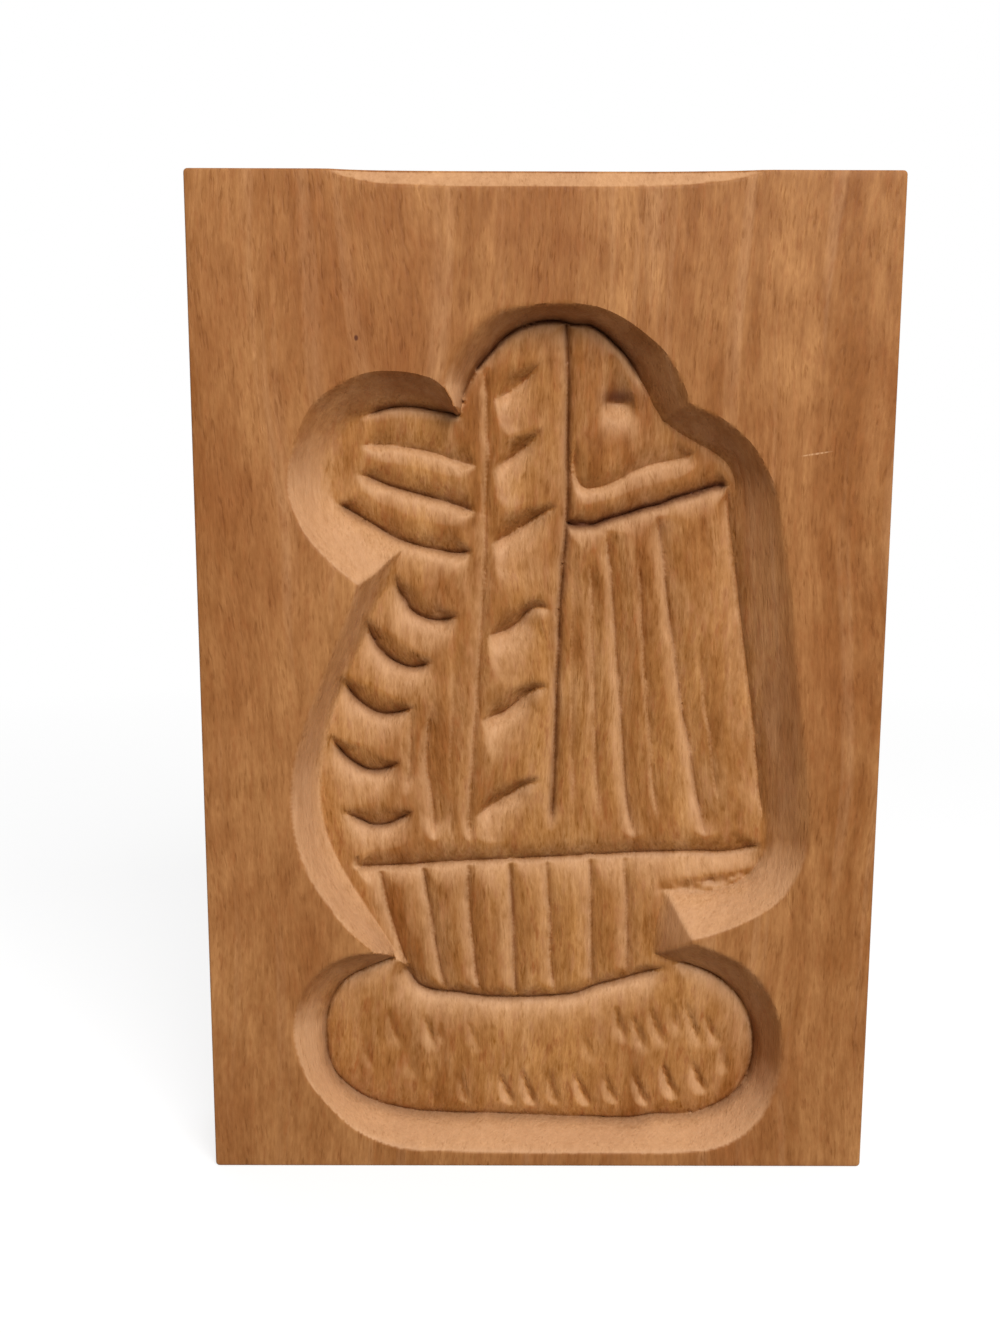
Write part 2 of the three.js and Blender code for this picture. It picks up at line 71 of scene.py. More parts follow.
# Closed lines of the five hollows that make up the figure, in mm on the front face: "rim" where a hollow's
# wall meets the face and "bed" where it meets the bed. "cove" says how bowed the wall is, 1 for a flat one,
# by height, and "soft" how rounded its rim is, by place across, or by height where soft_by is 1. The parts
# of a line that lie inside another hollow are never seen.
HOLLOWS = {
    "flag": dict(
        rim=[(-17.3, 156.5), (-18.3, 158.8), (-20.2, 161), (-25, 162.7), (-29, 163.1), (-33, 162.9),
             (-37, 161.7), (-41, 159.5), (-44.5, 156.5), (-47, 152), (-49.2, 146), (-49.5, 140),
             (-47.7, 134.6), (-46, 131.5), (-43.5, 128.5), (-40.5, 125.5), (-36, 121.8), (-31, 117.6),
             (-24, 116), (-16, 124), (-12, 131), (-11, 143), (-13.5, 151.5)],
        bed=[(-16, 154.6), (-17.8, 155.4), (-20.4, 155.8), (-26.6, 156.7), (-29.7, 156.5), (-33.3, 155.5),
             (-37, 153.6), (-39.8, 150.5), (-41, 146), (-41.5, 142), (-41.2, 138.4), (-38.7, 136.4),
             (-35.9, 134.8), (-32.8, 132.9), (-30.2, 131.2), (-27.6, 130.1), (-25, 129.3), (-20.4, 128.3),
             (-16, 128.2), (-13.5, 131), (-12.5, 138), (-12.5, 147), (-13.5, 152)],
        cove=[(0, 1.35)], soft=[(0, 0.02)]),
    "head": dict(
        rim=[(-17.3, 156.5), (-19.4, 160), (-18.8, 164.8), (-16, 169.6), (-12.3, 172.8), (-8, 174.8),
             (-3, 175.4), (2, 175.8), (7, 175.6), (11, 174.8), (15, 173), (19.5, 169.9), (23, 166.8),
             (25.3, 163.5), (26.8, 160.5), (28, 157.2), (28.5, 150), (26, 140), (18, 130), (5, 125),
             (-8, 127), (-16, 136), (-18, 147)],
        bed=[(-15.9, 156.7), (-15.5, 158.8), (-14.7, 161), (-13.6, 163), (-12.3, 164.8), (-10.2, 167.2),
             (-8.3, 169.4), (-5.9, 171.2), (-2.8, 172.7), (0.3, 173.3), (3.5, 173.3), (6, 172.7),
             (9.4, 172.4), (11.7, 171.1), (13.7, 169.4), (15.8, 167.4), (17.4, 165.4), (18.9, 162.8),
             (20.3, 160.2), (21.6, 157.5), (23.7, 154), (25, 148), (24, 140), (17, 133), (5, 129),
             (-7, 131), (-14.5, 139), (-16.3, 150)],
        cove=[(0, 1.0)], soft=[(-8, 0.6), (5, 0.25), (15, 0.02)]),
    "sail": dict(
        rim=[(28, 157.2), (30.5, 156.1), (34, 154.5), (37, 152.4), (40, 149.6), (42, 146.9), (44, 143.2),
             (45.5, 140), (46.5, 135), (47.4, 130), (48.3, 125), (49.1, 120), (50.2, 110), (51.4, 100),
             (52.7, 90), (54, 80), (54.5, 74), (54, 68), (52, 62.4), (50, 59.2), (47, 56.4), (43, 53.9),
             (38, 51.6), (31.5, 49.5), (24, 48), (10, 49), (-8, 55), (-12, 80), (-12, 120), (0, 147),
             (14, 157.5), (22, 158.7)],
        bed=[(23.7, 154), (27, 151.8), (30.5, 149.8), (34, 147.9), (36.8, 145.6), (38.3, 142.3),
             (38, 137), (38.4, 130.4), (39.6, 121.1), (40.8, 112.8), (42.2, 103.5), (43, 98.3),
             (44.4, 88), (45.6, 77.6), (46.6, 71.4), (46.6, 66.5), (45.2, 63), (42.3, 59.8), (37.5, 57.6),
             (32.4, 57.2), (26.2, 57.6), (15, 58), (-4, 62), (-8, 90), (-8, 120), (4, 145), (12, 152),
             (19, 154.5)],
        cove=[(60, 1.0), (70, 1.15), (136, 1.2), (145, 1.0)], soft=[(0, 0.03)]),
    "boat": dict(
        rim=[(-36, 122.7), (-38, 118), (-40.4, 112), (-45, 101), (-48.6, 91), (-50.3, 83), (-50.3, 74),
             (-48.8, 67), (-46.9, 62.5), (-43.8, 57.5), (-39.6, 52), (-34, 46.8), (-28, 40), (-18, 32),
             (0, 29), (20, 31), (29, 39), (31.5, 49.5), (33.5, 58), (38, 80), (36, 110), (28, 130),
             (10, 141), (-10, 142), (-21, 137), (-29, 132), (-33, 127)],
        bed=[(-30.6, 122), (-33, 117.5), (-35.8, 110.5), (-40, 101), (-43, 92), (-44.8, 84), (-45, 76),
             (-43.4, 68), (-41, 62.5), (-37.4, 56), (-33.5, 49.5), (-29, 42), (-25, 37.5), (-16, 35),
             (0, 33), (18, 36), (23.5, 42), (24.5, 49), (26, 57), (29, 66), (33, 85), (31, 108),
             (24, 125), (8, 136), (-10, 137), (-17, 133), (-23, 131), (-27, 129), (-29.3, 125.8)],
        cove=[(50, 1.1), (62, 1.35)], soft=[(-44, 0.3), (-36, 0.06)]),
    "sea": dict(
        rim=[(31.4, 49.1), (38, 46.6), (41.2, 45), (44, 42.6), (46.2, 40), (48.1, 36.6), (49.6, 32.5),
             (50.5, 26), (50.3, 20), (49, 15), (47, 11), (44.2, 7.6), (41, 5.2), (37, 3.6), (30, 2.8),
             (20, 2.6), (0, 2.7), (-20, 3), (-29, 3.7), (-38, 7.7), (-43.5, 13), (-48.5, 20), (-50.8, 28),
             (-49.8, 36), (-45.4, 42.7), (-40, 46), (-34, 47.1), (-27, 49), (-14, 51), (0, 52), (14, 51),
             (24, 49.5)],
        bed=[(29.3, 41.7), (31.3, 41.3), (37.5, 38.7), (41.7, 35.2), (44.8, 30.1), (46, 23.9), (45.8, 19.7),
             (43.9, 14.2), (41.5, 11.4), (37.5, 8.9), (33.4, 7.4), (25.1, 7.1), (21, 6.5), (10.6, 6.5),
             (0.3, 6.8), (-10, 7.2), (-20.4, 7.4), (-28.7, 8.3), (-35.9, 10.5), (-39, 12.4), (-43, 16.3),
             (-44.4, 19.5), (-45, 25), (-44.8, 29.3), (-43.1, 34.2), (-40.8, 37.5), (-35.9, 40.4),
             (-30.7, 42.5), (-24, 45), (-10, 47), (10, 47), (23, 44.5)],
        cove=[(0, 1.05)], soft=[(14, 0.35), (30, 0.04)], soft_by=1),
}


def bed_points(name, first, last):
    """The points of a hollow's bed from one of them to another, counted from 0, forwards or backwards."""
    step = 1 if last > first else -1
    return HOLLOWS[name]["bed"][first:last + step:step]


# Cuts on the bed of the hollows, in mm. Each has its points, its depth, its widths at the start and at the
# end on the left and on the right, seen along the line, its run-in, its run-out, and the depth of its knife
# line.
CUTS = {
    "flag_top": ([(-37, 154), *bed_points("flag", 5, 1), (-15.8, 154.3)],
                 0.9, (0.7, 0.7), (0.8, 0.8), 5, 2, 1.0),
    "stripe_1": ([(-36.4, 149), (-33, 149.1), (-27.6, 148.8), (-23.5, 148.2), (-20.4, 147.4), (-17.8, 146.4),
                  (-12.6, 144.9)], 2.1, (2.4, 2.6), (1.7, 1.8), 4, 2.5, 0.3),
    "stripe_2": ([(-37.4, 144), (-34, 142.7), (-30.7, 141.3), (-25.6, 139.8), (-20.4, 138.4), (-15.2, 136.7),
                  (-12.8, 135.6)], 2.6, (2.4, 2.6), (1.9, 2.1), 4, 2.5, 0.8),
    "stripe_3": ([(-41, 138), *bed_points("flag", 11, 17), (-16.2, 127.8), (-13.4, 128.6)],
                 2.5, (2.4, 2.6), (1.2, 2.0), 2, 2.5, 0.8),
    "head_left": ([(-16.4, 156.7), (-15.6, 158.8), (-14.7, 161), (-13.6, 163), (-12.3, 164.8)],
                  0.4, (0.4, 0.5), (0.8, 1.0), 0.8, 1, 0.5),
    "head_arc": ([(-13.4, 163.3), *bed_points("head", 4, 17), (20.6, 159.6), (21.6, 157.5)],
                 1.1, (0.8, 0.8), (0.9, 0.9), 1, 9, 1.2),
    "mast_left": ([(-11.3, 165.5), (-10.7, 153), (-10.9, 139.7), (-11.6, 119), (-12.4, 103.5), (-13.1, 93.2),
                   (-13.8, 82.8), (-14.3, 73.5), (-14.2, 66)], 1.6, (1.7, 1.8), (0.9, 1.0), 5, 6, 0.1),
    "mast_right": ([(4.6, 173.2), (5, 166), (5.1, 150), (5.1, 134.5), (4.6, 127), (4, 119), (3.7, 108.7),
                    (3.4, 98.3), (3.2, 88), (2.9, 77.6), (2.3, 69.5)],
                   1.5, (1.6, 1.6), (1.3, 1.3), 0.6, 6, 0.8),
    "stroke_1": ([(-15, 155), (-11.2, 157), (-7.5, 159), (-4.9, 160.9), (-2, 163.6), (0.6, 166.3)],
                 3.8, (2.4, 1.8), (3.8, 3.0), 2, 7, 0.1),
    "stroke_2": ([(-15, 139.6), (-11.2, 142.6), (-7.5, 145.7), (-4.9, 147.8), (-2.8, 149.5), (-0.6, 151.5),
                  (1.2, 153)],
                 4.4, (2.6, 1.5), (3.8, 2.6), 2, 7.5, 0.25),
    "stroke_3": ([(-16, 126.8), (-11.2, 128.9), (-5.9, 131.7), (-3.8, 133), (-1.8, 134.5), (2.6, 137.1),
                  (4.6, 138)],
                 4.6, (2.6, 1.5), (4.0, 2.6), 2, 8, 0.3),
    "stroke_4": ([(-17, 110), (-12, 110.8), (-6.9, 112), (-4.9, 113.3), (-2.8, 115.7), (-1, 116.9),
                  (2, 116.6), (4, 116.2)],
                 4.8, (2.4, 1.5), (4.2, 2.2), 2, 9, 0.4),
    "stroke_5": ([(-17, 92.2), (-12.6, 93.3), (-8, 94.7), (-5.9, 96.1), (-3.8, 97.9), (-2.3, 99.3),
                  (1.5, 100.8), (3.4, 101.4)],
                 4.7, (2.4, 1.5), (4.0, 2.2), 2, 8, 0.35),
    "stroke_6": ([(-18, 70.4), (-13.8, 72.8), (-10, 75.1), (-8, 76.4), (-5.9, 77.7), (-3.8, 79.3),
                  (-0.3, 81), (1.4, 81.8)],
                 4.4, (2.4, 1.5), (3.8, 2.2), 2, 7.5, 0.3),
    "topsail_foot": ([(6.9, 153), (6.5, 148), (6.6, 144.2), (7.3, 141.9), (8.9, 140.8), (11, 141),
                      (15.8, 142.8), (17.9, 144), (21, 145.3), (26.2, 146.5), (28.8, 147.1), (30.8, 148.6)],
                     2.2, (1.6, 2.6), (1.2, 2.2), 8, 2.5, 0.1),
    "gaff": ([(4.8, 134.2), (6, 133.5), (7.5, 133.3), (10.6, 133.6), (12.7, 134.4), (15.8, 135.3), (21, 137),
              (24.1, 137.7), (26.2, 138.7), (29.3, 139.7), (34.4, 141.1), (37.3, 141.5)],
             2.6, (2.2, 2.2), (1.7, 2.0), 0.6, 0.8, 1.6),
    "sail_right": ([(37, 141.2), (37.3, 137), (37.9, 132), (38.4, 129), *bed_points("sail", 8, 13),
                    (46.5, 71.5)], 1.0, (0.9, 0.9), (2.6, 2.6), 2.5, 8, 0.25),
    "fold_a": ([(12.4, 137), (13.5, 129.4), (14.6, 119), (15.5, 108.7), (16.4, 98.3), (17.3, 88),
                (18.1, 77.6), (19.6, 68.5), (20.2, 64)], 2.1, (2.6, 3.0), (1.1, 1.2), 1, 1, 0.3),
    "fold_b": ([(22.8, 141), (23.9, 131.4), (25.1, 123.2), (26.4, 113.8), (27.9, 104.5), (28.7, 98.3),
                (30.7, 89), (32.2, 80.7), (34.2, 70.5), (35.4, 64)], 2.5, (2.8, 3.2), (1.2, 1.3), 1, 1, 0.35),
    "fold_c": ([(10.2, 131), (10.4, 120), (10.7, 108), (11.3, 96), (11.8, 84), (12.5, 72)],
               1.3, (1.8, 2.0), (1.2, 1.3), 10, 10, 0.1),
    "fold_d": ([(31.5, 112), (33, 102), (34.6, 93), (35.8, 84), (37.4, 73)], 1.3, (2.0, 2.0), (1.2, 1.3),
               12, 8, 0.1),
    "fold_e": ([(19.6, 131), (20.3, 119), (21.2, 106), (22.3, 94), (23.6, 80), (24.6, 71)],
               1.2, (1.8, 1.8), (1.1, 1.1), 10, 8, 0.1),
    "fold_f": ([(6.8, 131), (6.7, 118), (6.6, 104), (6.9, 88), (7.2, 73)], 0.9, (1.6, 1.6), (1.2, 1.2),
               10, 10, 0.0),
    "deck": ([(-37.8, 62.1), (-30.7, 62.4), (-20.4, 63.1), (-12.1, 63.6), (-4.9, 63.9), (0.3, 64.2),
              (10.6, 64.7), (21, 65.3), (31.3, 65.6), (41.7, 65.9), (46.4, 67.4)],
             2.8, (2.4, 2.4), (2.4, 5.0), 0.7, 3, 0.55),
    "deck_end": ([(-37.7, 65.2), (-37.9, 63.8), (-37.6, 62)], 0.8, (0.7, 0.7), (0.7, 0.7), 0.8, 0.4, 0.3),
    "scallop_1": ([(-29.6, 124.5), (-28.7, 120.1), (-27.4, 117.5), (-25.6, 115.6), (-23.5, 114.5),
                   (-21.4, 114.1), (-19.9, 114.1), (-15.8, 115.6)], 3.2, (2.4, 2.6), (3.0, 3.0), 6, 4, 0.9),
    "scallop_2": ([(-35.6, 116), (-34.6, 111.3), (-33.3, 108.7), (-31.2, 106.6), (-29.2, 105.3),
                   (-27.1, 104.5), (-25.6, 104.4), (-21, 106.2)], 3.2, (2.4, 2.6), (3.0, 3.0), 6, 4, 1.0),
    "scallop_3": ([(-41, 103.6), (-38, 98.1), (-35.9, 96.3), (-33.8, 95.1), (-31.8, 94.6), (-30.2, 94.7),
                   (-24.6, 96.8)], 3.2, (2.4, 2.6), (3.0, 3.0), 5, 5, 1.0),
    "scallop_4": ([(-43.4, 91), (-40, 85.6), (-38, 84.1), (-35.9, 83.1), (-33.8, 82.8), (-31.8, 83.1),
                   (-28, 85.4)], 3.3, (2.4, 2.4), (3.1, 3.1), 5, 4, 1.1),
    "scallop_5": ([(-41.4, 75), (-36.9, 72), (-34.9, 71.2), (-32.8, 71.1), (-30.7, 71.5), (-28.7, 72.6),
                   (-25.4, 75)], 3.1, (2.4, 2.4), (3.0, 3.0), 5, 4, 0.9),
    "jib_fold": ([(-21.6, 101), (-22.3, 95), (-23, 88), (-22.9, 82), (-22.2, 77.6), (-21.7, 73.5),
                  (-21.9, 67.5)], 2.3, (2.6, 2.8), (1.2, 1.6), 10, 5, 0.2),
    "jib_edge": ([(-26.6, 100), (-26.2, 92), (-26.6, 84), (-27.6, 77)],
                 1.1, (1.6, 1.6), (1.1, 1.1), 6, 5, 0.1),
    "jib_inner": ([(-16.6, 112), (-17.4, 100), (-18, 88), (-18.2, 76), (-18, 66)],
                  0.8, (1.8, 1.8), (1.0, 1.0), 10, 6, 0.0),
    "seam_1": ([(-34.6, 65), (-32.3, 58), (-31, 51.8), (-28.9, 44.5), (-27.1, 39), (-24.6, 33)],
               2.1, (2.2, 2.0), (1.8, 1.6), 1, 1, 0.2),
    "seam_2": ([(-24.9, 66.4), (-22.5, 51.8), (-20.9, 41.4), (-18.8, 31)], 2.1, (2.5, 2.3), (1.5, 1.5),
               1, 1, 0.35),
    "seam_3": ([(-15, 67), (-14.2, 51.8), (-13.2, 41.4), (-12.2, 30)], 2.1, (2.5, 2.3), (1.5, 1.5),
               1, 1, 0.25),
    "seam_4": ([(-6.2, 67), (-5.4, 51.8), (-4.9, 41.4), (-4.4, 30)], 2.3, (2.6, 2.5), (1.5, 1.5), 1, 1, 0.45),
    "seam_5": ([(1.6, 67), (2.4, 51.8), (2.9, 41.4), (3.9, 30)], 1.9, (2.3, 2.3), (1.5, 1.5), 1, 1, 0.25),
    "seam_6": ([(10.7, 68), (11.2, 51.8), (11.6, 32)], 2.1, (2.5, 2.3), (1.5, 1.5), 1, 1, 0.3),
    "seam_7": ([(17.8, 68), (18.7, 51.8), (19.1, 34)], 2.0, (2.7, 2.7), (1.5, 1.5), 1, 1, 0.25),
    "keel": ([(-29, 42), (-27.1, 38.3), (-25.6, 36.3), (-23.5, 35.2), (-18.3, 34.4), (-12.1, 33.5),
              (-4.9, 33.2), (2.4, 33.5), (8.6, 34.4), (12.7, 36), (18.9, 37.7), (23.1, 38.9), (27.6, 41.2)],
             3.1, (2.0, 2.0), (3.8, 2.6), 3, 5, 0.8),
    "sea_edge": ([(-29.5, 42.9), *bed_points("sea", 26, 1), (28.5, 41.8)],
                 1.3, (2.4, 2.4), (0.6, 0.6), 2, 2, 0.6),
    "prow": ([(25.6, 57.4), (32.4, 57.1), *bed_points("sail", 18, 16), (46.4, 66)],
             0.5, (1.6, 1.6), (0.7, 0.7), 4, 2, 0.05),
}

# Short slanting flutes on the sea, in mm: (x, z) at the upper end, (x, z) at the lower end and the depth.
GOUGES = [
    ((-8.3, 18.6), (-4.2, 7.6), 1.0), ((-3.6, 19.4), (0.4, 7.2), 1.1), ((2.2, 18.8), (5.2, 7.6), 0.8),
    ((7.6, 19.0), (12.2, 7.4), 1.0), ((14.1, 18.2), (17.6, 8.8), 0.8), ((20.2, 18.6), (24.8, 7.4), 0.9),
    ((26.4, 21.0), (30.4, 9.6), 1.2), ((32.7, 21.3), (36.4, 11.4), 1.1), ((-16.3, 18.2), (-14.2, 8.0), 0.7),
    ((-22.8, 16.0), (-21.2, 7.2), 0.5), ((16.4, 34.8), (18.8, 23.2), 0.8),
    ((19.6, 32.2), (23.6, 21.2), 0.7), ((23.8, 33.4), (27.2, 22.4), 0.7), ((31.0, 34.4), (35.4, 22.2), 0.8),
    ((35.4, 31.6), (38.8, 22.6), 0.7), ((-24.4, 33.4), (-21.2, 21.2), 0.8),
    ((-31.4, 33.2), (-29.0, 21.8), 0.5), ((-15.2, 34.2), (-12.0, 20.4), 0.6),
    ((-19.6, 31.0), (-20.6, 22.4), 0.5), ((28.0, 35.4), (30.4, 24.8), 0.5),
    ((-37.0, 28.0), (-35.2, 17.2), 0.4), ((9.2, 29.4), (12.4, 19.0), 0.4),
    ((39.0, 24.6), (41.0, 16.0), 0.5), ((-27.6, 24.4), (-26.2, 15.0), 0.4),
]

# The lower edge of the shallow scoop along the top, in mm.
SCOOP_LINE = [(-47, 202), (-42, 200), (-39, 198.8), (-36, 198), (-32, 197.3), (-25, 196.9), (0, 196.7),
              (15, 196.7), (22, 196.8), (30, 197.4), (36, 198.2), (40, 199.2), (43, 200.1), (48, 202)]

# How finely the face is divided, in mm: steps along its lines, and the spacing of its points.
DEPTH_STEP = 1.0
CUT_DEPTH_STEP = 0.8
EDGE_STEP = 0.5
CUT_EDGE_STEP = 0.42
BORDER_STEP = 2.0
COARSE_SPACING = 2.4
SCOOP_SPACING = 0.7

# The box that the fine points lie in, how far they reach past a rim and how far they keep from a line, in
# mm.
FINE_BOX = ((-54, 1.4), (58, 179))
FINE_PAST_RIM = 1.4
FINE_OFF_LINE = 0.26
# How far the coarse points keep from the plank's left and lower edges, from its right and upper edges, from
# a rim and from any line, in mm.
COARSE_INSET = ((2, 1.7), (1.5, 1.2))
COARSE_OFF_RIM = 2.0
COARSE_OFF_LINE = 1.2
# The scoop's points: half their width and their reach down from the upper edge, how far the scoop's line
# and its points keep off the upper edge's rounding and the points off any line, and where the coarse points
# below and beside them start, in mm.
SCOOP_HALF = 46
SCOOP_REACH = 4.2
SCOOP_LINE_OFF_EDGE = 0.25
SCOOP_OFF_EDGE = 0.3
SCOOP_OFF_LINE = 0.32
SCOOP_STRIPS = (4.8, 47.2)
# How far a bed's line keeps from a cut, in mm, so that no sliver lies between them.
BED_OFF_CUT = 0.3
# The radius of the plank's corners as seen from the front, over the rounding of its edges, and the points
# of each quarter round.
CORNER_SHARE = 1.6
ROUND_POINTS = 5
# The kind of mesh that is asked for, the distance in mm under which two points are one, and the angle
# between two faces from which their edge is sharp.
TRIANGLES_INSIDE = 1
JOINED_WITHIN = 1e-5
SHARP_FROM = math.radians(44)

# The points on each side of the lattice of random heights, which repeats, and where on it the origin lies.
LATTICE_SIZE = 257
LATTICE_SHIFT = (500.37, 300.71)

# Layers of hand-cut unevenness, each with its height, its size across and up, and its seed, in mm.
BED_LAYERS = ((0.10, 3.2, 22, 5), (0.05, 1.3, 9, 6), (0.08, 7, 9, 7))
WALL_LAYERS = ((0.10, 2.6, 3.4, 9), (0.10, 5.5, 4.2, 10))
TORN_LAYERS = ((0.4, 1.2, 0.9, 11), (0.4, 2.6, 1.6, 12))
# Layers of the hand's sway: their height, and the size and seed of the sway across and of the sway up.
SWAY_LAYERS = ((0.2, (5.1, 4.3, 21), (4.6, 5.7, 22)), (0.1, (1.9, 2.1, 23), (2.3, 1.7, 24)))

# The torn strip at the bow and the band over it, paler by a painted highlight: middle, half length, half
# width and slope, in mm.
TORN_STRIP = ((36, 59.2), 9, 1.1, 0.14)
TORN_LEVEL = 0.45
TORN_BROWN = 0.5
HIGHLIGHT_BAND = ((37, 62.76), 9.5, 2.0, 0.16)

# Where a cut fades in and out, in mm: strokes from the mast's left and right seams, seams from the deck and
# the keel, and folds from the gaff and the deck, and the free strip that strokes and folds leave at their
# far end.
FADES = {"stroke": (4.8, 1.4), "seam": (1.5, 1.5), "fold": (7, 8)}
STROKE_STOP = 1.3
FOLD_STOP = 1

# How far from its edge the bed has most of its crown, in mm, and the share of the full depth at which the
# bed starts and the one over which it fades in.
CROWN_REACH = 3.5
BED_FROM = 0.55
BED_FADE = 0.4

# The dimple in the topsail, in mm: the height of its foot, and half its width over the height above that.
DIMPLE_FOOT = 157.6
DIMPLE_HALVES = ((-7, 4.6), (-1, 3.6), (2, 2.9), (11, 0.9))
# Its painted shade, in mm: the middle across, and the half width, height above the foot, half height and
# strength of the dark spot and of the fainter one over it.
DIMPLE_MIDDLE = 14.8
DIMPLE_SHADE = ((3.1, 1.0, 1.5, 0.9), (3.2, 3.8, 2.4, 0.252))

# Painted light: how strongly a slope that faces up and one that faces right, towards the lamp, get a painted
# highlight, while one that faces down gets painted shade, how strongly the band at the bow gets a painted
# highlight, and the depth in mm over which that starts.
FACING_UP = 0.85
FACING_RIGHT = 0.45
BAND_HIGHLIGHT = 0.13
PAINTED_LIGHT_DEPTH = 0.4


def smooth_line(points, step, closed=False):
    """A smooth line through the points, read off at even steps. Each span is a cubic whose slope at a point
    is that of the parabola through the point and its neighbours, and at the end of an open line that of its
    last chord."""
    p = np.asarray(points, float)
    before = np.vstack([p[-1:] if closed else 2 * p[:1] - p[1:2], p])[: len(p)]
    after = np.vstack([p[1:], p[:1] if closed else 2 * p[-1:] - p[-2:-1]])
    back = np.linalg.norm(p - before, axis=1)[:, None]
    ahead = np.linalg.norm(after - p, axis=1)[:, None]
    slope = ((p - before) / back * ahead + (after - p) / ahead * back) / (back + ahead)
    ends = np.arange(len(p)) if closed else np.arange(len(p) - 1)
    nexts = (ends + 1) % len(p)
    span = ahead[ends, 0]
    pieces = np.maximum(1, np.ceil(span / step).astype(int))
    which = np.repeat(np.arange(len(ends)), pieces)
    first = np.cumsum(pieces) - pieces
    u = ((np.arange(len(which)) - first[which]) / pieces[which])[:, None]
    a, b = p[ends][which], p[nexts][which]
    slope_a = slope[ends][which] * span[which, None]
    slope_b = slope[nexts][which] * span[which, None]
    line = (2 * u**3 - 3 * u**2 + 1) * a + (u**3 - 2 * u**2 + u) * slope_a
    line += (3 * u**2 - 2 * u**3) * b + (u**3 - u**2) * slope_b
    return line if closed else np.vstack([line, p[-1:]])


def from_line(points, line, closed=False):
    """Distance of every point to a line of short straight pieces, on which side it lies (+1 left, -1
    right), and how far along the line, in mm, the nearest place is. Worked out for a block of points at a
    time."""
    block = 20000
    a = line if closed else line[:-1]
    b = np.roll(line, -1, axis=0) if closed else line[1:]
    piece = b - a
    length2 = np.maximum((piece**2).sum(1), 1e-12)
    start = np.concatenate([[0.0], np.cumsum(np.sqrt(length2))[:-1]])
    near = np.empty(len(points))
    side = np.empty(len(points))
    along = np.empty(len(points))
    for low in range(0, len(points), block):
        part = slice(low, low + block)
        q = points[part]
        off = q[:, None, :] - a[None]
        t = np.clip((off * piece).sum(2) / length2, 0, 1)
        gap = off - t[..., None] * piece
        gap2 = (gap**2).sum(2)
        k = gap2.argmin(1)
        rows = np.arange(len(q))
        near[part] = np.sqrt(gap2[rows, k])
        side[part] = np.sign(piece[k, 0] * off[rows, k, 1] - piece[k, 1] * off[rows, k, 0])
        along[part] = start[k] + t[rows, k] * np.sqrt(length2[k])
    return near, side, along


def inside(points, line):
    """True where a point lies inside the closed line: a ray to the right crosses it an odd number of
    times."""
    odd = np.zeros(len(points), bool)
    for (ax, az), (bx, bz) in zip(line, np.roll(line, -1, axis=0)):
        if az == bz:
            continue
        spans = (az > points[:, 1]) != (bz > points[:, 1])
        odd ^= spans & (points[:, 0] < (bx - ax) * (points[:, 1] - az) / (bz - az) + ax)
    return odd


def nearest(points, targets):
    """Distance from each point to the nearest of the targets, by looking only at the targets in the same or
    a neighbouring square of a coarse grid. Where they hold none it is far, a distance over any
    clearance."""
    cell, far, row = 2.0, 9.0, 100000
    key = np.floor(targets / cell).astype(int)
    order = np.lexsort((key[:, 1], key[:, 0]))
    targets = targets[order]
    code = key[order, 0] * row + key[order, 1]
    out = np.full(len(points), far)
    at = np.floor(points / cell).astype(int)
    for dx in (-1, 0, 1):
        for dz in (-1, 0, 1):
            want = (at[:, 0] + dx) * row + at[:, 1] + dz
            first = np.searchsorted(code, want, "left")
            last = np.searchsorted(code, want, "right")
            for k in range(int((last - first).max())):
                j = np.minimum(first + k, len(targets) - 1)
                gap = np.hypot(points[:, 0] - targets[j, 0], points[:, 1] - targets[j, 1])
                out = np.where(first + k < last, np.minimum(out, gap), out)
    return out


def ease(t):
    """0 below 0, 1 above 1, and a smooth S between."""
    t = np.clip(t, 0, 1)
    return t * t * (3 - 2 * t)


def uneven(points, size_x, size_z, seed):
    """A smooth random surface between about -1 and 1: random heights on a lattice, size_x by size_z mm,
    joined by smooth S steps."""
    random = np.random.default_rng(seed)
    lattice = random.uniform(-1, 1, (LATTICE_SIZE, LATTICE_SIZE))
    u = points[:, 0] / size_x + LATTICE_SHIFT[0]
    v = points[:, 1] / size_z + LATTICE_SHIFT[1]
    i, j = np.floor(u).astype(int), np.floor(v).astype(int)
    fu, fv = ease(u - i), ease(v - j)
    i0, j0, i1, j1 = (k % LATTICE_SIZE for k in (i, j, i + 1, j + 1))
    low = lattice[i0, j0] * (1 - fu) + lattice[i1, j0] * fu
    high = lattice[i0, j1] * (1 - fu) + lattice[i1, j1] * fu
    return low * (1 - fv) + high * fv


def layered(points, layers):
    """The sum of layers of unevenness, each times its height."""
    return sum(height * uneven(points, size_x, size_z, seed) for height, size_x, size_z, seed in layers)


def slanting_strip(points, middle, half_length, half_width, slope):
    """1 along the middle of a slanting strip: e to the minus (place along / half length) to the fourth,
    less (distance up from its line / half width) squared."""
    x, z = points.T
    along = x - middle[0]
    up = z - middle[1] - slope * along
    return np.exp(-((along / half_length) ** 4) - (up / half_width) ** 2)


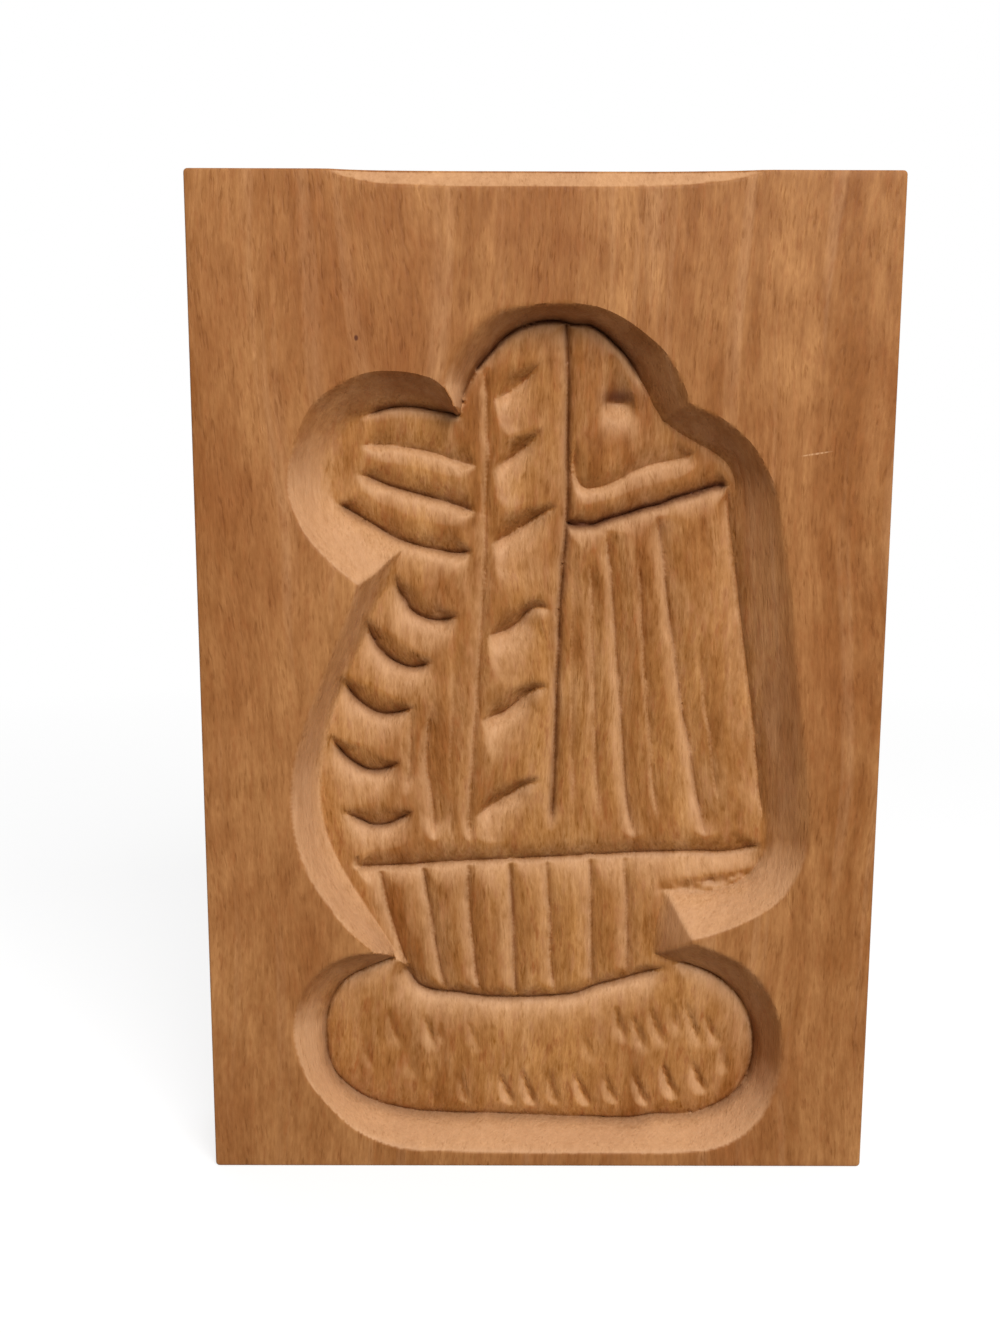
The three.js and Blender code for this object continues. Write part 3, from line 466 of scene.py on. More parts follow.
def wall_depth(points, hollow, depth):
    """Depth of one hollow: 0 at its rim and depth on its bed. Between them t is the share of the way from
    rim to bed, and the wall falls as 1 - (1 - t) to the power of its cove. A soft rim eases t in, as the
    root of (t squared + soft squared), less soft, over the same for a t of 1. Also returns how far a point
    on the bed lies from the bed's edge."""
    rim = smooth_line(hollow["rim"], DEPTH_STEP, closed=True)
    bed = smooth_line(hollow["bed"], DEPTH_STEP, closed=True)
    in_rim, in_bed = inside(points, rim), inside(points, bed)
    t = np.where(in_bed, 1.0, 0.0)
    wall = in_rim & ~in_bed
    to_rim = from_line(points[wall], rim, closed=True)[0]
    to_bed = from_line(points[wall], bed, closed=True)[0]
    t[wall] = to_rim / np.maximum(to_rim + to_bed, 1e-9)
    soft = np.interp(points[:, hollow.get("soft_by", 0)], *zip(*hollow["soft"]))
    t = (np.sqrt(t**2 + soft**2) - soft) / (np.sqrt(1 + soft**2) - soft)
    from_edge = np.zeros(len(points))
    from_edge[in_bed] = from_line(points[in_bed], bed, closed=True)[0]
    cove = np.interp(points[:, 1], *zip(*hollow["cove"]))
    return depth * (1 - (1 - t) ** cove), from_edge


def hollow_depth(points, cuts):
    """Depth of the hollows, joined by their greatest depth, and its share of the bed's depth. The bed's
    crown, which nears its full rise as e to the minus (distance from the bed's edge / reach), comes off the
    depth."""
    bed_depth = cuts.bed_depth / MM
    depth = np.zeros(len(points))
    from_edge = np.zeros(len(points))
    for hollow in HOLLOWS.values():
        fall, inward = wall_depth(points, hollow, bed_depth)
        depth = np.maximum(depth, fall)
        from_edge = np.maximum(from_edge, inward)
    crown = cuts.crown / MM * (1 - np.exp(-from_edge / CROWN_REACH))
    return depth - crown, depth / bed_depth


def cut_depth(points, cut, scale):
    """Depth of one cut and its brown deposit with painted crease shade there, worked out only within 3.5
    times its greatest width. The depth falls off as e to the minus (distance / width) to a power, 1.4 on the
    soft left side and 1 on the crisp right side, each with its own width, plus a knife line that is a V 0.5
    mm wide on either side. Over its run-in and run-out, each longer by 0.9 times the distance, it rises and
    falls as an S step, and its width shrinks to 0.45 of the full one. The brown deposit and painted crease
    shade is 0.18 plus 0.65 times the knife line's depth, times those S steps squared, and falls off as e to
    the minus (distance / (0.45 + 0.3 times that depth)) to the power 1.5. All of the depth is times the
    scale."""
    line_points, depth, left, right, run_in, run_out, knife = cut
    line = smooth_line(line_points, CUT_DEPTH_STEP)
    reach = 3.5 * max(*left, *right)
    close = ((points > line.min(0) - reach) & (points < line.max(0) + reach)).all(1)
    near, side, along = from_line(points[close], line)
    total = np.linalg.norm(np.diff(line, axis=0), axis=1).sum()
    u = along / total
    width = np.where(side > 0, left[0] + (left[1] - left[0]) * u, right[0] + (right[1] - right[0]) * u)
    taper = ease(along / (run_in + 0.9 * near)) * ease((total - along) / (run_out + 0.9 * near))
    width = width * (0.45 + 0.55 * taper)
    fall = np.exp(-((near / width) ** np.where(side > 0, 1.4, 1.0)))
    knife_line = knife * taper * np.clip(1 - near / 0.5, 0, 1)
    brown_width = 0.45 + 0.3 * knife
    out, brown = np.zeros(len(points)), np.zeros(len(points))
    out[close] = scale * taper * (depth * fall + knife_line)
    brown[close] = taper**2 * (0.18 + 0.65 * knife) * np.exp(-((near / brown_width) ** 1.5))
    return out, brown


def flute_depth(points, top, foot, depth):
    """Depth of one short flute: a V to the power 1.2 across a line from top to foot that is bowed by half a
    mm. Seen from the front it grows wider from 0.6 to 3.5 mm on the left and from 0.5 to 2.2 mm on the
    right. Along it the depth grows from half to full, and S steps over its first 0.35 and last 0.42 fade it
    in and out."""
    top, foot = np.array(top), np.array(foot)
    length = np.linalg.norm(foot - top)
    ahead = (foot - top) / length
    u = (points - top) @ ahead / length
    reach = np.clip(u, 0, 1)
    across = (points - top) @ np.array([-ahead[1], ahead[0]]) + 0.5 * np.sin(math.pi * reach)
    half = np.where(across > 0, 0.5 + 1.7 * reach, 0.6 + 2.9 * reach)
    ends = ease(u / 0.35) * ease((1 - u) / 0.42) * (0.5 + 0.5 * reach)
    return depth * np.clip(1 - np.abs(across) / half, 0, 1) ** 1.2 * ends


def dimple(points):
    """The dimple in the topsail. Across it is 1 - (distance / half its width) squared, from a middle at 15
    mm that leans 0.16 mm to the left for each of the first 11 mm up. Above its foot it falls off as e to
    the minus (height / 3.4), times an S step over the last 5 of its 12 mm, and below as e to the minus
    (distance down / 3) to the power 1.5. Returns its share of the full depth and its painted shade, a dark
    spot and a fainter one over it, each e to the minus (place across / half width) to the power 2.5, less
    (place up / half height) squared, times its strength."""
    rise = points[:, 1] - DIMPLE_FOOT
    half = np.interp(rise, *zip(*DIMPLE_HALVES))
    middle = 15.0 - 0.16 * np.clip(rise, 0, 11)
    across = np.clip(1 - (np.abs(points[:, 0] - middle) / half) ** 2, 0, 1)
    above = np.exp(-rise / 3.4) * ease((12 - rise) / 5)
    below = np.exp(-(np.maximum(-rise, 0) / 3.0) ** 1.5)
    off = np.abs(points[:, 0] - DIMPLE_MIDDLE)
    brown = sum(strength * np.exp(-((off / half_width) ** 2.5) - ((rise - height) / half_height) ** 2)
                for half_width, height, half_height, strength in DIMPLE_SHADE)
    return across * np.where(rise > 0, above, below), brown


def height_of(name, x):
    """The height of a cut that runs from left to right, at each place across."""
    line = np.array(CUTS[name][0])
    line = line[line[:, 0].argsort()]
    return np.interp(x, line[:, 0], line[:, 1])


def place_of(name, z):
    """The place across of a cut that runs down, at each height."""
    line = np.array(CUTS[name][0])
    line = line[line[:, 1].argsort()]
    return np.interp(z, line[:, 1], line[:, 0])


def cut_limits(points):
    """How much is left of the strokes, seams and folds at every point: each kind fades in from one line and
    out towards another as S steps."""
    x, z = points.T
    deck = height_of("deck", x)
    gaps = {
        "stroke": (x - place_of("mast_left", z), place_of("mast_right", z) - STROKE_STOP - x),
        "seam": (deck - z, z - height_of("keel", x)),
        "fold": (height_of("gaff", x) - z, z - deck - FOLD_STOP),
    }
    return {kind: ease(gap[0] / FADES[kind][0]) * ease(gap[1] / FADES[kind][1]) for kind, gap in gaps.items()}


def bed_cuts(points, cuts):
    """Depth of everything cut into the bed, and its brown deposit with painted crease shade. The cuts follow
    a hand that sways a little, and are joined by the fourth root of the sum of their fourth powers. The
    flutes and the dimple join them by the greatest depth, and the dimple's painted shade joins the brown by
    the greatest too."""
    sway = sum(height * np.stack([uneven(points, *across), uneven(points, *up)], 1)
               for height, across, up in SWAY_LAYERS)
    swayed = points + cuts.unevenness * sway
    limits = cut_limits(points)
    carved = np.zeros(len(points))
    crease = np.zeros(len(points))
    for name, cut in CUTS.items():
        depth, brown = cut_depth(swayed, cut, cuts.groove_depth)
        left = limits.get(name.split("_")[0], 1.0)
        carved += (depth * left) ** 4
        crease = np.maximum(crease, brown * left)
    carved = carved ** 0.25
    for top, foot, depth in GOUGES:
        carved = np.maximum(carved, cuts.gouge_scale * flute_depth(points, top, foot, depth))
    hole, brown = dimple(points)
    return np.maximum(carved, cuts.dimple_depth / MM * hole), np.maximum(crease, brown)


def carving(points, cuts):
    """Depth of the whole carving at every point: that of the hollows, plus that of the cuts where the share
    of the bed's depth says bed, plus the unevenness of the bed, its torn strip and the walls, which are 4
    times share times (1 - share). The scoop along the top falls evenly upward from its lower edge, and the
    greater depth holds. Also returns what the finish needs: wall, the brown deposit and painted crease shade
    of the cuts, the share of the bed's depth and the band at the bow that gets a painted highlight."""
    floor, share = hollow_depth(points, cuts)
    bed = ease((share - BED_FROM) / BED_FADE)
    walls = 4 * share * (1 - share)
    carved, crease = bed_cuts(points, cuts)
    rough = layered(points, BED_LAYERS)
    torn = slanting_strip(points, *TORN_STRIP) * (TORN_LEVEL + layered(points, TORN_LAYERS))
    crease = np.maximum(crease, TORN_BROWN * np.clip(torn, 0, 1))
    rough = bed * (rough + torn) + walls * layered(points, WALL_LAYERS)
    depth = floor + bed * carved + cuts.unevenness * rough
    scoop = smooth_line(SCOOP_LINE, DEPTH_STEP)
    above_scoop = points[:, 1] - np.interp(points[:, 0], scoop[:, 0], scoop[:, 1])
    depth = np.where(above_scoop > 0, np.maximum(depth, cuts.scoop_slope * above_scoop), depth)
    # The crease map holds the cuts' brown deposit with painted crease shade, the dimple's painted shade and
    # the torn strip's brown; the band marks where a painted highlight goes.
    finish = {"wall": np.clip(walls, 0, 1), "crease": np.clip(crease * bed, 0, 1), "hollow": share,
              "band": bed * slanting_strip(points, *HIGHLIGHT_BAND)}
    return np.maximum(depth, 0), finish


def rounded_rectangle(width, height, radius, inset, step):
    """The plank's outline seen from the front, anticlockwise: straight sides and quarter rounds of the
    radius, drawn in by the inset, with the same number of points for every inset. Returns (x, z) pairs in
    mm."""
    half = width / 2 - radius
    corners = [(half, radius), (half, height - radius), (-half, height - radius), (-half, radius)]
    turn = np.linspace(0, math.pi / 2, ROUND_POINTS)
    arcs = []
    for k, (x, z) in enumerate(corners):
        angle = turn + (k - 1) * math.pi / 2
        arcs.append(np.stack([x + (radius - inset) * np.cos(angle), z + (radius - inset) * np.sin(angle)], 1))
    outline = []
    for k, arc in enumerate(arcs):
        side = (width if k % 2 else height) - 2 * radius
        pieces = int(side / step)
        u = (np.arange(1, pieces) / pieces)[:, None]
        outline += [arc, arc[-1] + (arcs[(k + 1) % 4][0] - arc[-1]) * u]
    return np.vstack(outline)


def staggered_grid(low, high, spacing):
    """Points of an even triangular grid between two corners."""
    rise = spacing * math.sqrt(3) / 2
    zs = np.arange(low[1], high[1], rise)
    xs = np.arange(low[0], high[0], spacing)
    x, z = np.meshgrid(xs, zs)
    x = x + (np.arange(len(zs)) % 2)[:, None] * spacing / 2
    return np.stack([x.ravel(), z.ravel()], 1)


def face_lines(width, height, arris):
    """Every line that the front's triangles must follow: the plank's border, the scoop's lower edge, the
    cuts, and the parts of the rims and beds that lie outside the other hollows. Returns the points of each
    line, and the edges between them as index pairs."""
    border = rounded_rectangle(width, height, arris * CORNER_SHARE, arris, BORDER_STEP)
    scoop = smooth_line(SCOOP_LINE, DEPTH_STEP)
    scoop = scoop[scoop[:, 1] < height - arris - SCOOP_LINE_OFF_EDGE]
    open_lines = [scoop, *(smooth_line(cut[0], CUT_EDGE_STEP) for cut in CUTS.values())]
    at = np.arange(len(border))
    lines, edges = [border], [np.stack([at, np.roll(at, -1)], 1)]
    count = len(border)
    for line in open_lines:
        at = np.arange(count, count + len(line))
        lines.append(line)
        edges.append(np.stack([at[:-1], at[1:]], 1))
        count += len(line)
    for kind in ("rim", "bed"):
        closed = {name: smooth_line(hollow[kind], EDGE_STEP, closed=True) for name, hollow in HOLLOWS.items()}
        for name, line in closed.items():
            shown = ~np.any([inside(line, other) for key, other in closed.items() if key != name], axis=0)
            if kind == "bed":
                shown &= nearest(line, np.vstack(open_lines)) > BED_OFF_CUT
            at = np.full(len(line), -1)
            at[shown] = np.arange(shown.sum()) + count
            lines.append(line[shown])
            pairs = np.stack([at, np.roll(at, -1)], 1)
            edges.append(pairs[(pairs >= 0).all(1)])
            count += shown.sum()
    return lines, np.vstack(edges)


def front_points(width, height, arris, spacing):
    """The points of the front face: exact along every line, fine over the carving, finer still over the
    scoop's edge, and coarse over the flat margins. Returns the points, the edges that must stay, as index
    pairs, and the number of points on the border, which come first."""
    lines, edges = face_lines(width, height, arris)
    inner = np.vstack(lines[1:])
    (inset_left, inset_low), (inset_right, inset_top) = COARSE_INSET
    low, high = (-width / 2 + inset_left, inset_low), (width / 2 - inset_right, height - inset_top)
    fine = staggered_grid(*FINE_BOX, spacing)
    flat = staggered_grid(low, high, COARSE_SPACING)
    in_fine, in_flat = np.zeros(len(fine), bool), np.zeros(len(flat), bool)
    for hollow in HOLLOWS.values():
        rim = smooth_line(hollow["rim"], DEPTH_STEP, closed=True)
        in_fine |= inside(fine, rim) | (from_line(fine, rim, closed=True)[0] < FINE_PAST_RIM)
        in_flat |= inside(flat, rim) | (from_line(flat, rim, closed=True)[0] <= COARSE_OFF_RIM)
    fine = fine[in_fine]
    fine = fine[nearest(fine, inner) > FINE_OFF_LINE]
    flat = flat[~in_flat]
    flat = flat[(nearest(flat, inner) > COARSE_OFF_LINE) & (flat[:, 1] < height - SCOOP_STRIPS[0])]
    top = height - SCOOP_REACH
    scoop = staggered_grid((-SCOOP_HALF, top), (SCOOP_HALF, height - arris - SCOOP_OFF_EDGE), SCOOP_SPACING)
    scoop = scoop[nearest(scoop, inner) > SCOOP_OFF_LINE]
    beside = staggered_grid((low[0], top), high, COARSE_SPACING)
    beside = beside[np.abs(beside[:, 0]) > SCOOP_STRIPS[1]]
    return np.vstack([*lines, fine, flat, scoop, beside]), edges, len(lines[0])


def board_mesh(sizes, cuts):
    """The whole plank as one closed mesh: the front is the height surface y = face + depth(x, z), and its
    edge is carried back as a profile of two quarter rounds and a straight side to the flat back."""
    width, height, thick = sizes.width / MM, sizes.height / MM, sizes.thickness / MM
    arris = sizes.arris / MM
    face_y = PLANK_LOW.y / MM
    points, edges, border_count = front_points(width, height, arris, cuts.spacing)
    flat_points, _, faces, made_from, _, _ = delaunay_2d_cdt(
        [Vector(p) for p in points.tolist()], edges.tolist(), [], TRIANGLES_INSIDE, JOINED_WITHIN)
    front, faces = np.array(flat_points, float), np.array(faces, int)
    drawn = front / (np.array([width, height]) / DRAWN_FACE)
    depth, finish = carving(drawn, cuts)
    a, b, c = front[faces[:, 0]], front[faces[:, 1]], front[faces[:, 2]]
    area = (b[:, 0] - a[:, 0]) * (c[:, 1] - a[:, 1]) - (b[:, 1] - a[:, 1]) * (c[:, 0] - a[:, 0])
    faces = np.where((area > 0)[:, None], faces, faces[:, ::-1])

    place = np.full(len(points), -1)
    place[np.concatenate(made_from).astype(int)] = np.repeat(np.arange(len(front)), list(map(len, made_from)))
    last = place[:border_count]
    edge_depth = depth[last]
    turn = np.linspace(0, math.pi / 2, ROUND_POINTS)
    stations = [(arris * (1 - math.sin(t)), arris * (1 - math.cos(t)), 1) for t in turn[1:]]
    stations += [(0.0, thick / 3, 0), (0.0, 2 * thick / 3, 0)]
    stations += [(arris * (1 - math.cos(t)), thick - arris * (1 - math.sin(t)), 0) for t in turn]
    verts = [np.stack([front[:, 0], face_y + depth, front[:, 1]], 1)]
    quads = []
    count = len(front)
    for inset, back, follows in stations:
        ring = rounded_rectangle(width, height, arris * CORNER_SHARE, inset, BORDER_STEP)
        verts.append(np.stack([ring[:, 0], face_y + back + edge_depth * follows, ring[:, 1]], 1))
        ahead = np.arange(count, count + len(ring))
        quads.append(np.stack([last, ahead, np.roll(ahead, -1), np.roll(last, -1)], 1))
        count += len(ring)
        last = ahead
    verts = np.vstack(verts) * MM
    mesh = bpy.data.meshes.new("carved_board")
    mesh.from_pydata(verts.tolist(), [], faces.tolist() + np.vstack(quads).tolist() + [last[::-1].tolist()])
    mesh.validate()

    normals = np.empty(3 * count, np.float32)
    mesh.vertex_normals.foreach_get("vector", normals)
    across, _, up = normals.reshape(-1, 3)[: len(front)].T
    # Painted light: slopes that face up and right, towards the lamp, get a painted highlight and slopes that
    # face down get painted shade; the band at the bow gets a painted highlight too.
    painted_light = FACING_UP * up + FACING_RIGHT * np.maximum(across, 0)
    finish["facing"] = ease(depth / PAINTED_LIGHT_DEPTH) * painted_light + BAND_HIGHLIGHT * finish.pop("band")
    for name, values in finish.items():
        full = np.zeros(count, np.float32)
        full[: len(front)] = values
        mesh.attributes.new(name, "FLOAT", "POINT").data.foreach_set("value", full)
    mesh.shade_smooth()
    mesh.set_sharp_from_angle(angle=SHARP_FROM)
    return mesh


class NodeBench:
    """Makes and joins the nodes of one material or world. All but node, vector_math and parts return one
    output."""

    def __init__(self, tree):
        self.tree = tree
        tree.nodes.clear()

    def node(self, kind, inputs=(), **settings):
        """A new node with its settings, its inputs fed by name or number with values or with other
        sockets."""
        node = self.tree.nodes.new(kind)
        for name, value in settings.items():
            setattr(node, name, value)
        for key, value in dict(inputs).items():
            if isinstance(value, bpy.types.NodeSocket):
                self.tree.links.new(value, node.inputs[key])
            else:
                node.inputs[key].default_value = value
        return node

    def math(self, operation, *values):
        return self.node("ShaderNodeMath", enumerate(values), operation=operation).outputs[0]

    def times(self, first, second):
        return self.math("MULTIPLY", first, second)

    def times_plus(self, first, second, third):
        return self.math("MULTIPLY_ADD", first, second, third)

    def less(self, first, second):
        return self.math("SUBTRACT", first, second)

    def vector_math(self, operation, *values):
        return self.node("ShaderNodeVectorMath", enumerate(values), operation=operation)

    def parts(self, vector):
        return self.node("ShaderNodeSeparateXYZ", {0: vector}).outputs

    def joined(self, *parts):
        return self.node("ShaderNodeCombineXYZ", enumerate(parts)).outputs[0]

    def noise(self, where, scale, detail, rough):
        """Noise on coordinates stretched by scale, in features per metre across x, y and z."""
        stretch = self.node("ShaderNodeMapping", {"Vector": where, "Scale": scale})
        inputs = {"Vector": stretch.outputs[0], "Scale": 1.0, "Detail": detail, "Roughness": rough}
        return self.node("ShaderNodeTexNoise", inputs).outputs["Fac"]

    def ramp(self, value, low, high):
        """0 at low, 1 at high and an even slope between."""
        inputs = {"Value": value, "From Min": low, "From Max": high}
        return self.node("ShaderNodeMapRange", inputs, clamp=True).outputs["Result"]

    def mix(self, share, first, second):
        """The first colour going over to the second with the share."""
        first, second = (value if isinstance(value, bpy.types.NodeSocket) else (*value, 1.0)
                         for value in (first, second))
        return self.node("ShaderNodeMix", {0: share, 6: first, 7: second}, data_type="RGBA").outputs[2]

    def mix_shader(self, share, first, second):
        return self.node("ShaderNodeMixShader", {0: share, 1: first, 2: second}).outputs[0]

    def spot(self, where, place, slope=0.0):
        """1 in the inner half of an ellipsoid and 0 outside it: a ramp over the length of the step from its
        middle, turned by its slope and divided by half its size."""
        middle, half = place
        inputs = {"Vector": where, "Location": Vector(middle) * MM, "Rotation": (0.0, -slope, 0.0),
                  "Scale": Vector(half) * MM}
        step = self.node("ShaderNodeMapping", inputs, vector_type="TEXTURE")
        return self.ramp(self.vector_math("LENGTH", step.outputs[0]).outputs["Value"], 1.0, 0.5)

    def attribute(self, name):
        return self.node("ShaderNodeAttribute", attribute_name=name).outputs["Fac"]

    def seen_straight(self):
        """1 on rays from the camera, in gloss or through glass, and 0 on all others."""
        path = self.node("ShaderNodeLightPath").outputs
        seen = self.math("MAXIMUM", path["Is Camera Ray"], path["Is Glossy Ray"])
        return self.math("MAXIMUM", seen, path["Is Transmission Ray"])


def new_material(name):
    """A material without nodes, and the bench that makes them."""
    material = bpy.data.materials.new(name)
    material.use_nodes = True
    return material, NodeBench(material.node_tree)


# The step in m from the middle of the tree, which lies behind the plank and to its left, to the frame's
# origin.
PITH = (0.042, -0.085, 0.0)

# The small dark pin hole on the left of the face and the short pale scratch on its right: the middle and
# half the size of each, in mm across, back and up, the scratch's slope, and how strongly each shows.
PIN_HOLE = ((-35.7, -12.5, 169.2), (0.5, 5, 0.7))
SCRATCH = ((52.3, -12.5, 147.7), (3.7, 5, 0.22))
SCRATCH_SLOPE = math.radians(9)
PIN_HOLE_STRENGTH = 0.9
SCRATCH_STRENGTH = 0.8

# The noises of the wood, each with its features per metre across x, y and z, its detail and its roughness.
# The drift bends the grain to the side by up to its reach in m, the next ones follow the bent grain, the
# even ones don't, and the last is read by the distance from the tree's middle.
DRIFT_NOISE = ((16, 16, 7), 2.0, 0.5)
DRIFT_REACH = 0.024
GRAIN_NOISES = {
    "broad": ((75, 60, 9), 2.0, 0.5),
    "streaks": ((850, 800, 85), 2.0, 0.6),
    "broken": ((620, 560, 190), 3.0, 0.65),
    "lines": ((300, 280, 9), 2.0, 0.5),
    "dabs": ((190, 190, 55), 4.0, 0.65),
    "fibres": ((1900, 1700, 400), 2.0, 0.6),
    "rays": ((2200, 1500, 420), 1.0, 0.4),
}
EVEN_NOISES = {
    "mottle": ((260, 240, 95), 3.0, 0.6),
    "patches": ((34, 34, 18), 3.0, 0.55),
    "specks": ((500, 500, 180), 2.0, 0.6),
}
RING_NOISE = ((330, 1, 13), 3.0, 0.6)

# The values at which each look of the wood starts and is full: the light bands by tone, the marks by their
# noise, the painted highlight and painted shade by how far a slope faces the lamp, up and to the right, the
# ends by how straight they face up or down, the face by its share of the hollow's depth and the foot by its
# height in m.
RAMPS = {
    "light": (0.39, 0.61),
    "patches": (0.48, 0.7),
    "lines": (0.56, 0.72),
    "broken": (0.51, 0.68),
    "dabs": (0.46, 0.66),
    "rays": (0.54, 0.68),
    "specks": (0.42, 0.6),
    "scratch": (0.3, 0.6),
    "up": (0.03, 0.36),
    "down": (-0.04, -0.7),
    "end": (0.86, 0.97),
    "face": (0.2, 0.0),
    "foot": (0.11, 0.0),
}

# The parts of the tone: broad bands, growth rings and mottle, and how much more the rings show on the ends.
BROAD_TONE = 0.45
RING_TONE = 0.2
MOTTLE_TONE = 0.35
END_RING_TONE = 0.35

# How strongly the marks colour the wood, the last two on the face and how much more in the hollow.
PATCH_STRENGTH = 0.6
LINE_STRENGTH = 0.2
BROKEN_STRENGTH = (0.55, 0.35)
DAB_STRENGTH = (0.0, 0.32)

# How strongly the broken streaks light and darken the face, how much more they and the fibres do so in the
# hollow, how much calmer all of it is on the painted highlight and on walls, how much more painted highlight
# the slopes that face up near the foot get, and how much darker the ends are.
BROKEN_LIGHT = (0.45, 0.5)
FIBRE_LIGHT_IN_HOLLOW = 0.15
PALE_CALM = 0.6
FOOT_HIGHLIGHT = 0.19
END_SHADE = 0.12

# For red, green and blue: how strongly light and shade act on it, and how much of it the bed loses.
CHANNELS = ((0.9, 0.0), (1.15, 0.02), (1.5, 0.16))

# How rough the fibres make the surface, and how high the streaks, the fibres, the broken streaks in the
# hollow and the ray flecks stand in the bump, over its greatest height in m.
FIBRE_ROUGHNESS = 0.14
STREAK_HEIGHT = 0.8
FIBRE_HEIGHT = 0.5
BROKEN_HEIGHT = 1.2
RAY_HEIGHT = -1.5
BUMP_HEIGHT = 0.0003
WOOD_IOR = 1.5


def wood_noises(bench, where):
    """Every noise of the wood, by name, and the height above the floor. The grain is the place, moved to
    the side by the drift, and the growth bands are read at the distance from the tree's middle and the
    height."""
    across, back, up = bench.parts(where)
    drift = bench.noise(where, *DRIFT_NOISE)
    grain = bench.joined(bench.times_plus(drift, DRIFT_REACH, across), back, up)
    from_pith = bench.vector_math("MULTIPLY_ADD", grain, (1.0, 1.0, 0.0), PITH).outputs[0]
    radius = bench.vector_math("LENGTH", from_pith).outputs["Value"]
    noises = {name: bench.noise(grain, *noise) for name, noise in GRAIN_NOISES.items()}
    noises.update({name: bench.noise(where, *noise) for name, noise in EVEN_NOISES.items()})
    noises["bands"] = bench.noise(bench.joined(radius, 0.0, up), *RING_NOISE)
    return SimpleNamespace(**noises), up


def wood_parts(bench, finish):
    """What each place of the surface is: its share of the bed's depth, cut with its brown deposit and painted
    crease shade, wall, how far it faces up and right towards the lamp, which sets the painted light, end
    grain, the share of painted highlight on a slope that faces up, and the greater of that highlight and
    wall. All lie between 0 and 1, but how far it faces up is under 0 where it faces down. End grain is where
    it faces straight up or down outside the hollows."""
    part = SimpleNamespace(**{name: bench.attribute(name) for name in ("hollow", "crease", "wall", "facing")})
    normal = bench.parts(bench.node("ShaderNodeNewGeometry").outputs["Normal"])
    straight_up = bench.ramp(bench.math("ABSOLUTE", normal[2]), *RAMPS["end"])
    part.end = bench.times(straight_up, bench.ramp(part.hollow, *RAMPS["face"]))
    # The share of painted highlight on slopes that face up and right, towards the lamp.
    part.up = bench.times(bench.ramp(part.facing, *RAMPS["up"]), finish.painted_light)
    part.pale = bench.math("MAXIMUM", part.up, part.wall)
    return part


def wood_colour(bench, finish, noise, part):
    """The wood's colour: dark to light by a tone, the sum of broad bands, growth rings and mottle, each
    times its share. Over it lie redder patches, pale lines, redder broken streaks off the ends, pale walls
    with pale dabs in the hollow, a painted highlight on slopes that face up and painted shade on those that
    face down."""
    tone = bench.times_plus(noise.bands, RING_TONE, bench.times(noise.broad, BROAD_TONE))
    tone = bench.times_plus(noise.mottle, MOTTLE_TONE, tone)
    rings = bench.times(bench.less(noise.bands, noise.mottle), part.end)
    tone = bench.times_plus(rings, END_RING_TONE, tone)
    shares = {}
    for name, strength in (("patches", (PATCH_STRENGTH, 0.0)), ("lines", (LINE_STRENGTH, 0.0)),
                           ("broken", BROKEN_STRENGTH), ("dabs", DAB_STRENGTH)):
        by_depth = bench.times_plus(part.hollow, strength[1], strength[0])
        shares[name] = bench.times(bench.ramp(getattr(noise, name), *RAMPS[name]), by_depth)
    layers = (
        (shares["patches"], finish.red_colour),
        (shares["lines"], finish.fresh_and_highlight_colour),
        (bench.times(shares["broken"], bench.less(1.0, part.end)), finish.red_colour),
        (bench.times_plus(part.wall, finish.wall_paleness, shares["dabs"]), finish.fresh_and_highlight_colour),
        # Painted highlight: slopes that face up and right, towards the lamp, take the paler colour.
        (part.up, finish.fresh_and_highlight_colour),
        # Painted shade: slopes that face down are darkened towards the shaded colour.
        (bench.times(bench.ramp(part.facing, *RAMPS["down"]), finish.painted_shade), finish.painted_shade_colour),
    )
    colour = bench.mix(bench.ramp(tone, *RAMPS["light"]), finish.dark_colour, finish.light_colour)
    for share, over in layers:
        colour = bench.mix(share, colour, over)
    return colour


def wood_shade(bench, finish, noise, part, height, ray):
    """The colour's light and shade as a vector of factors, about 1: the streaks, broken streaks and fibres,
    each (noise - 0.5) times its strength, less the ray flecks, calmer on the painted highlight and on walls,
    with a stronger painted highlight on the slopes that face up near the foot, and darker on the ends. Each
    channel takes its own share, and the bed is a little yellower."""
    strengths = (
        (noise.streaks, finish.streak_strength),
        (noise.broken, bench.times_plus(part.hollow, BROKEN_LIGHT[1], BROKEN_LIGHT[0])),
        (noise.fibres, bench.times_plus(part.hollow, FIBRE_LIGHT_IN_HOLLOW, finish.fibre_strength)),
    )
    shade = bench.times(ray, -1.0)
    for value, strength in strengths:
        shade = bench.times_plus(bench.less(value, 0.5), strength, shade)
    shade = bench.times(shade, bench.times_plus(part.pale, -PALE_CALM, 1.0))
    # Painted highlight: slopes that face up near the foot are made lighter.
    highlight_near_foot = bench.times(part.up, bench.ramp(height, *RAMPS["foot"]))
    shade = bench.times_plus(highlight_near_foot, FOOT_HIGHLIGHT, shade)
    shade = bench.times_plus(part.end, -END_SHADE, shade)
    bed = bench.times(part.hollow, bench.less(1.0, part.pale))
    return bench.joined(*(bench.times_plus(shade, strength, bench.times_plus(bed, -lost, 1.0))
                          for strength, lost in CHANNELS))


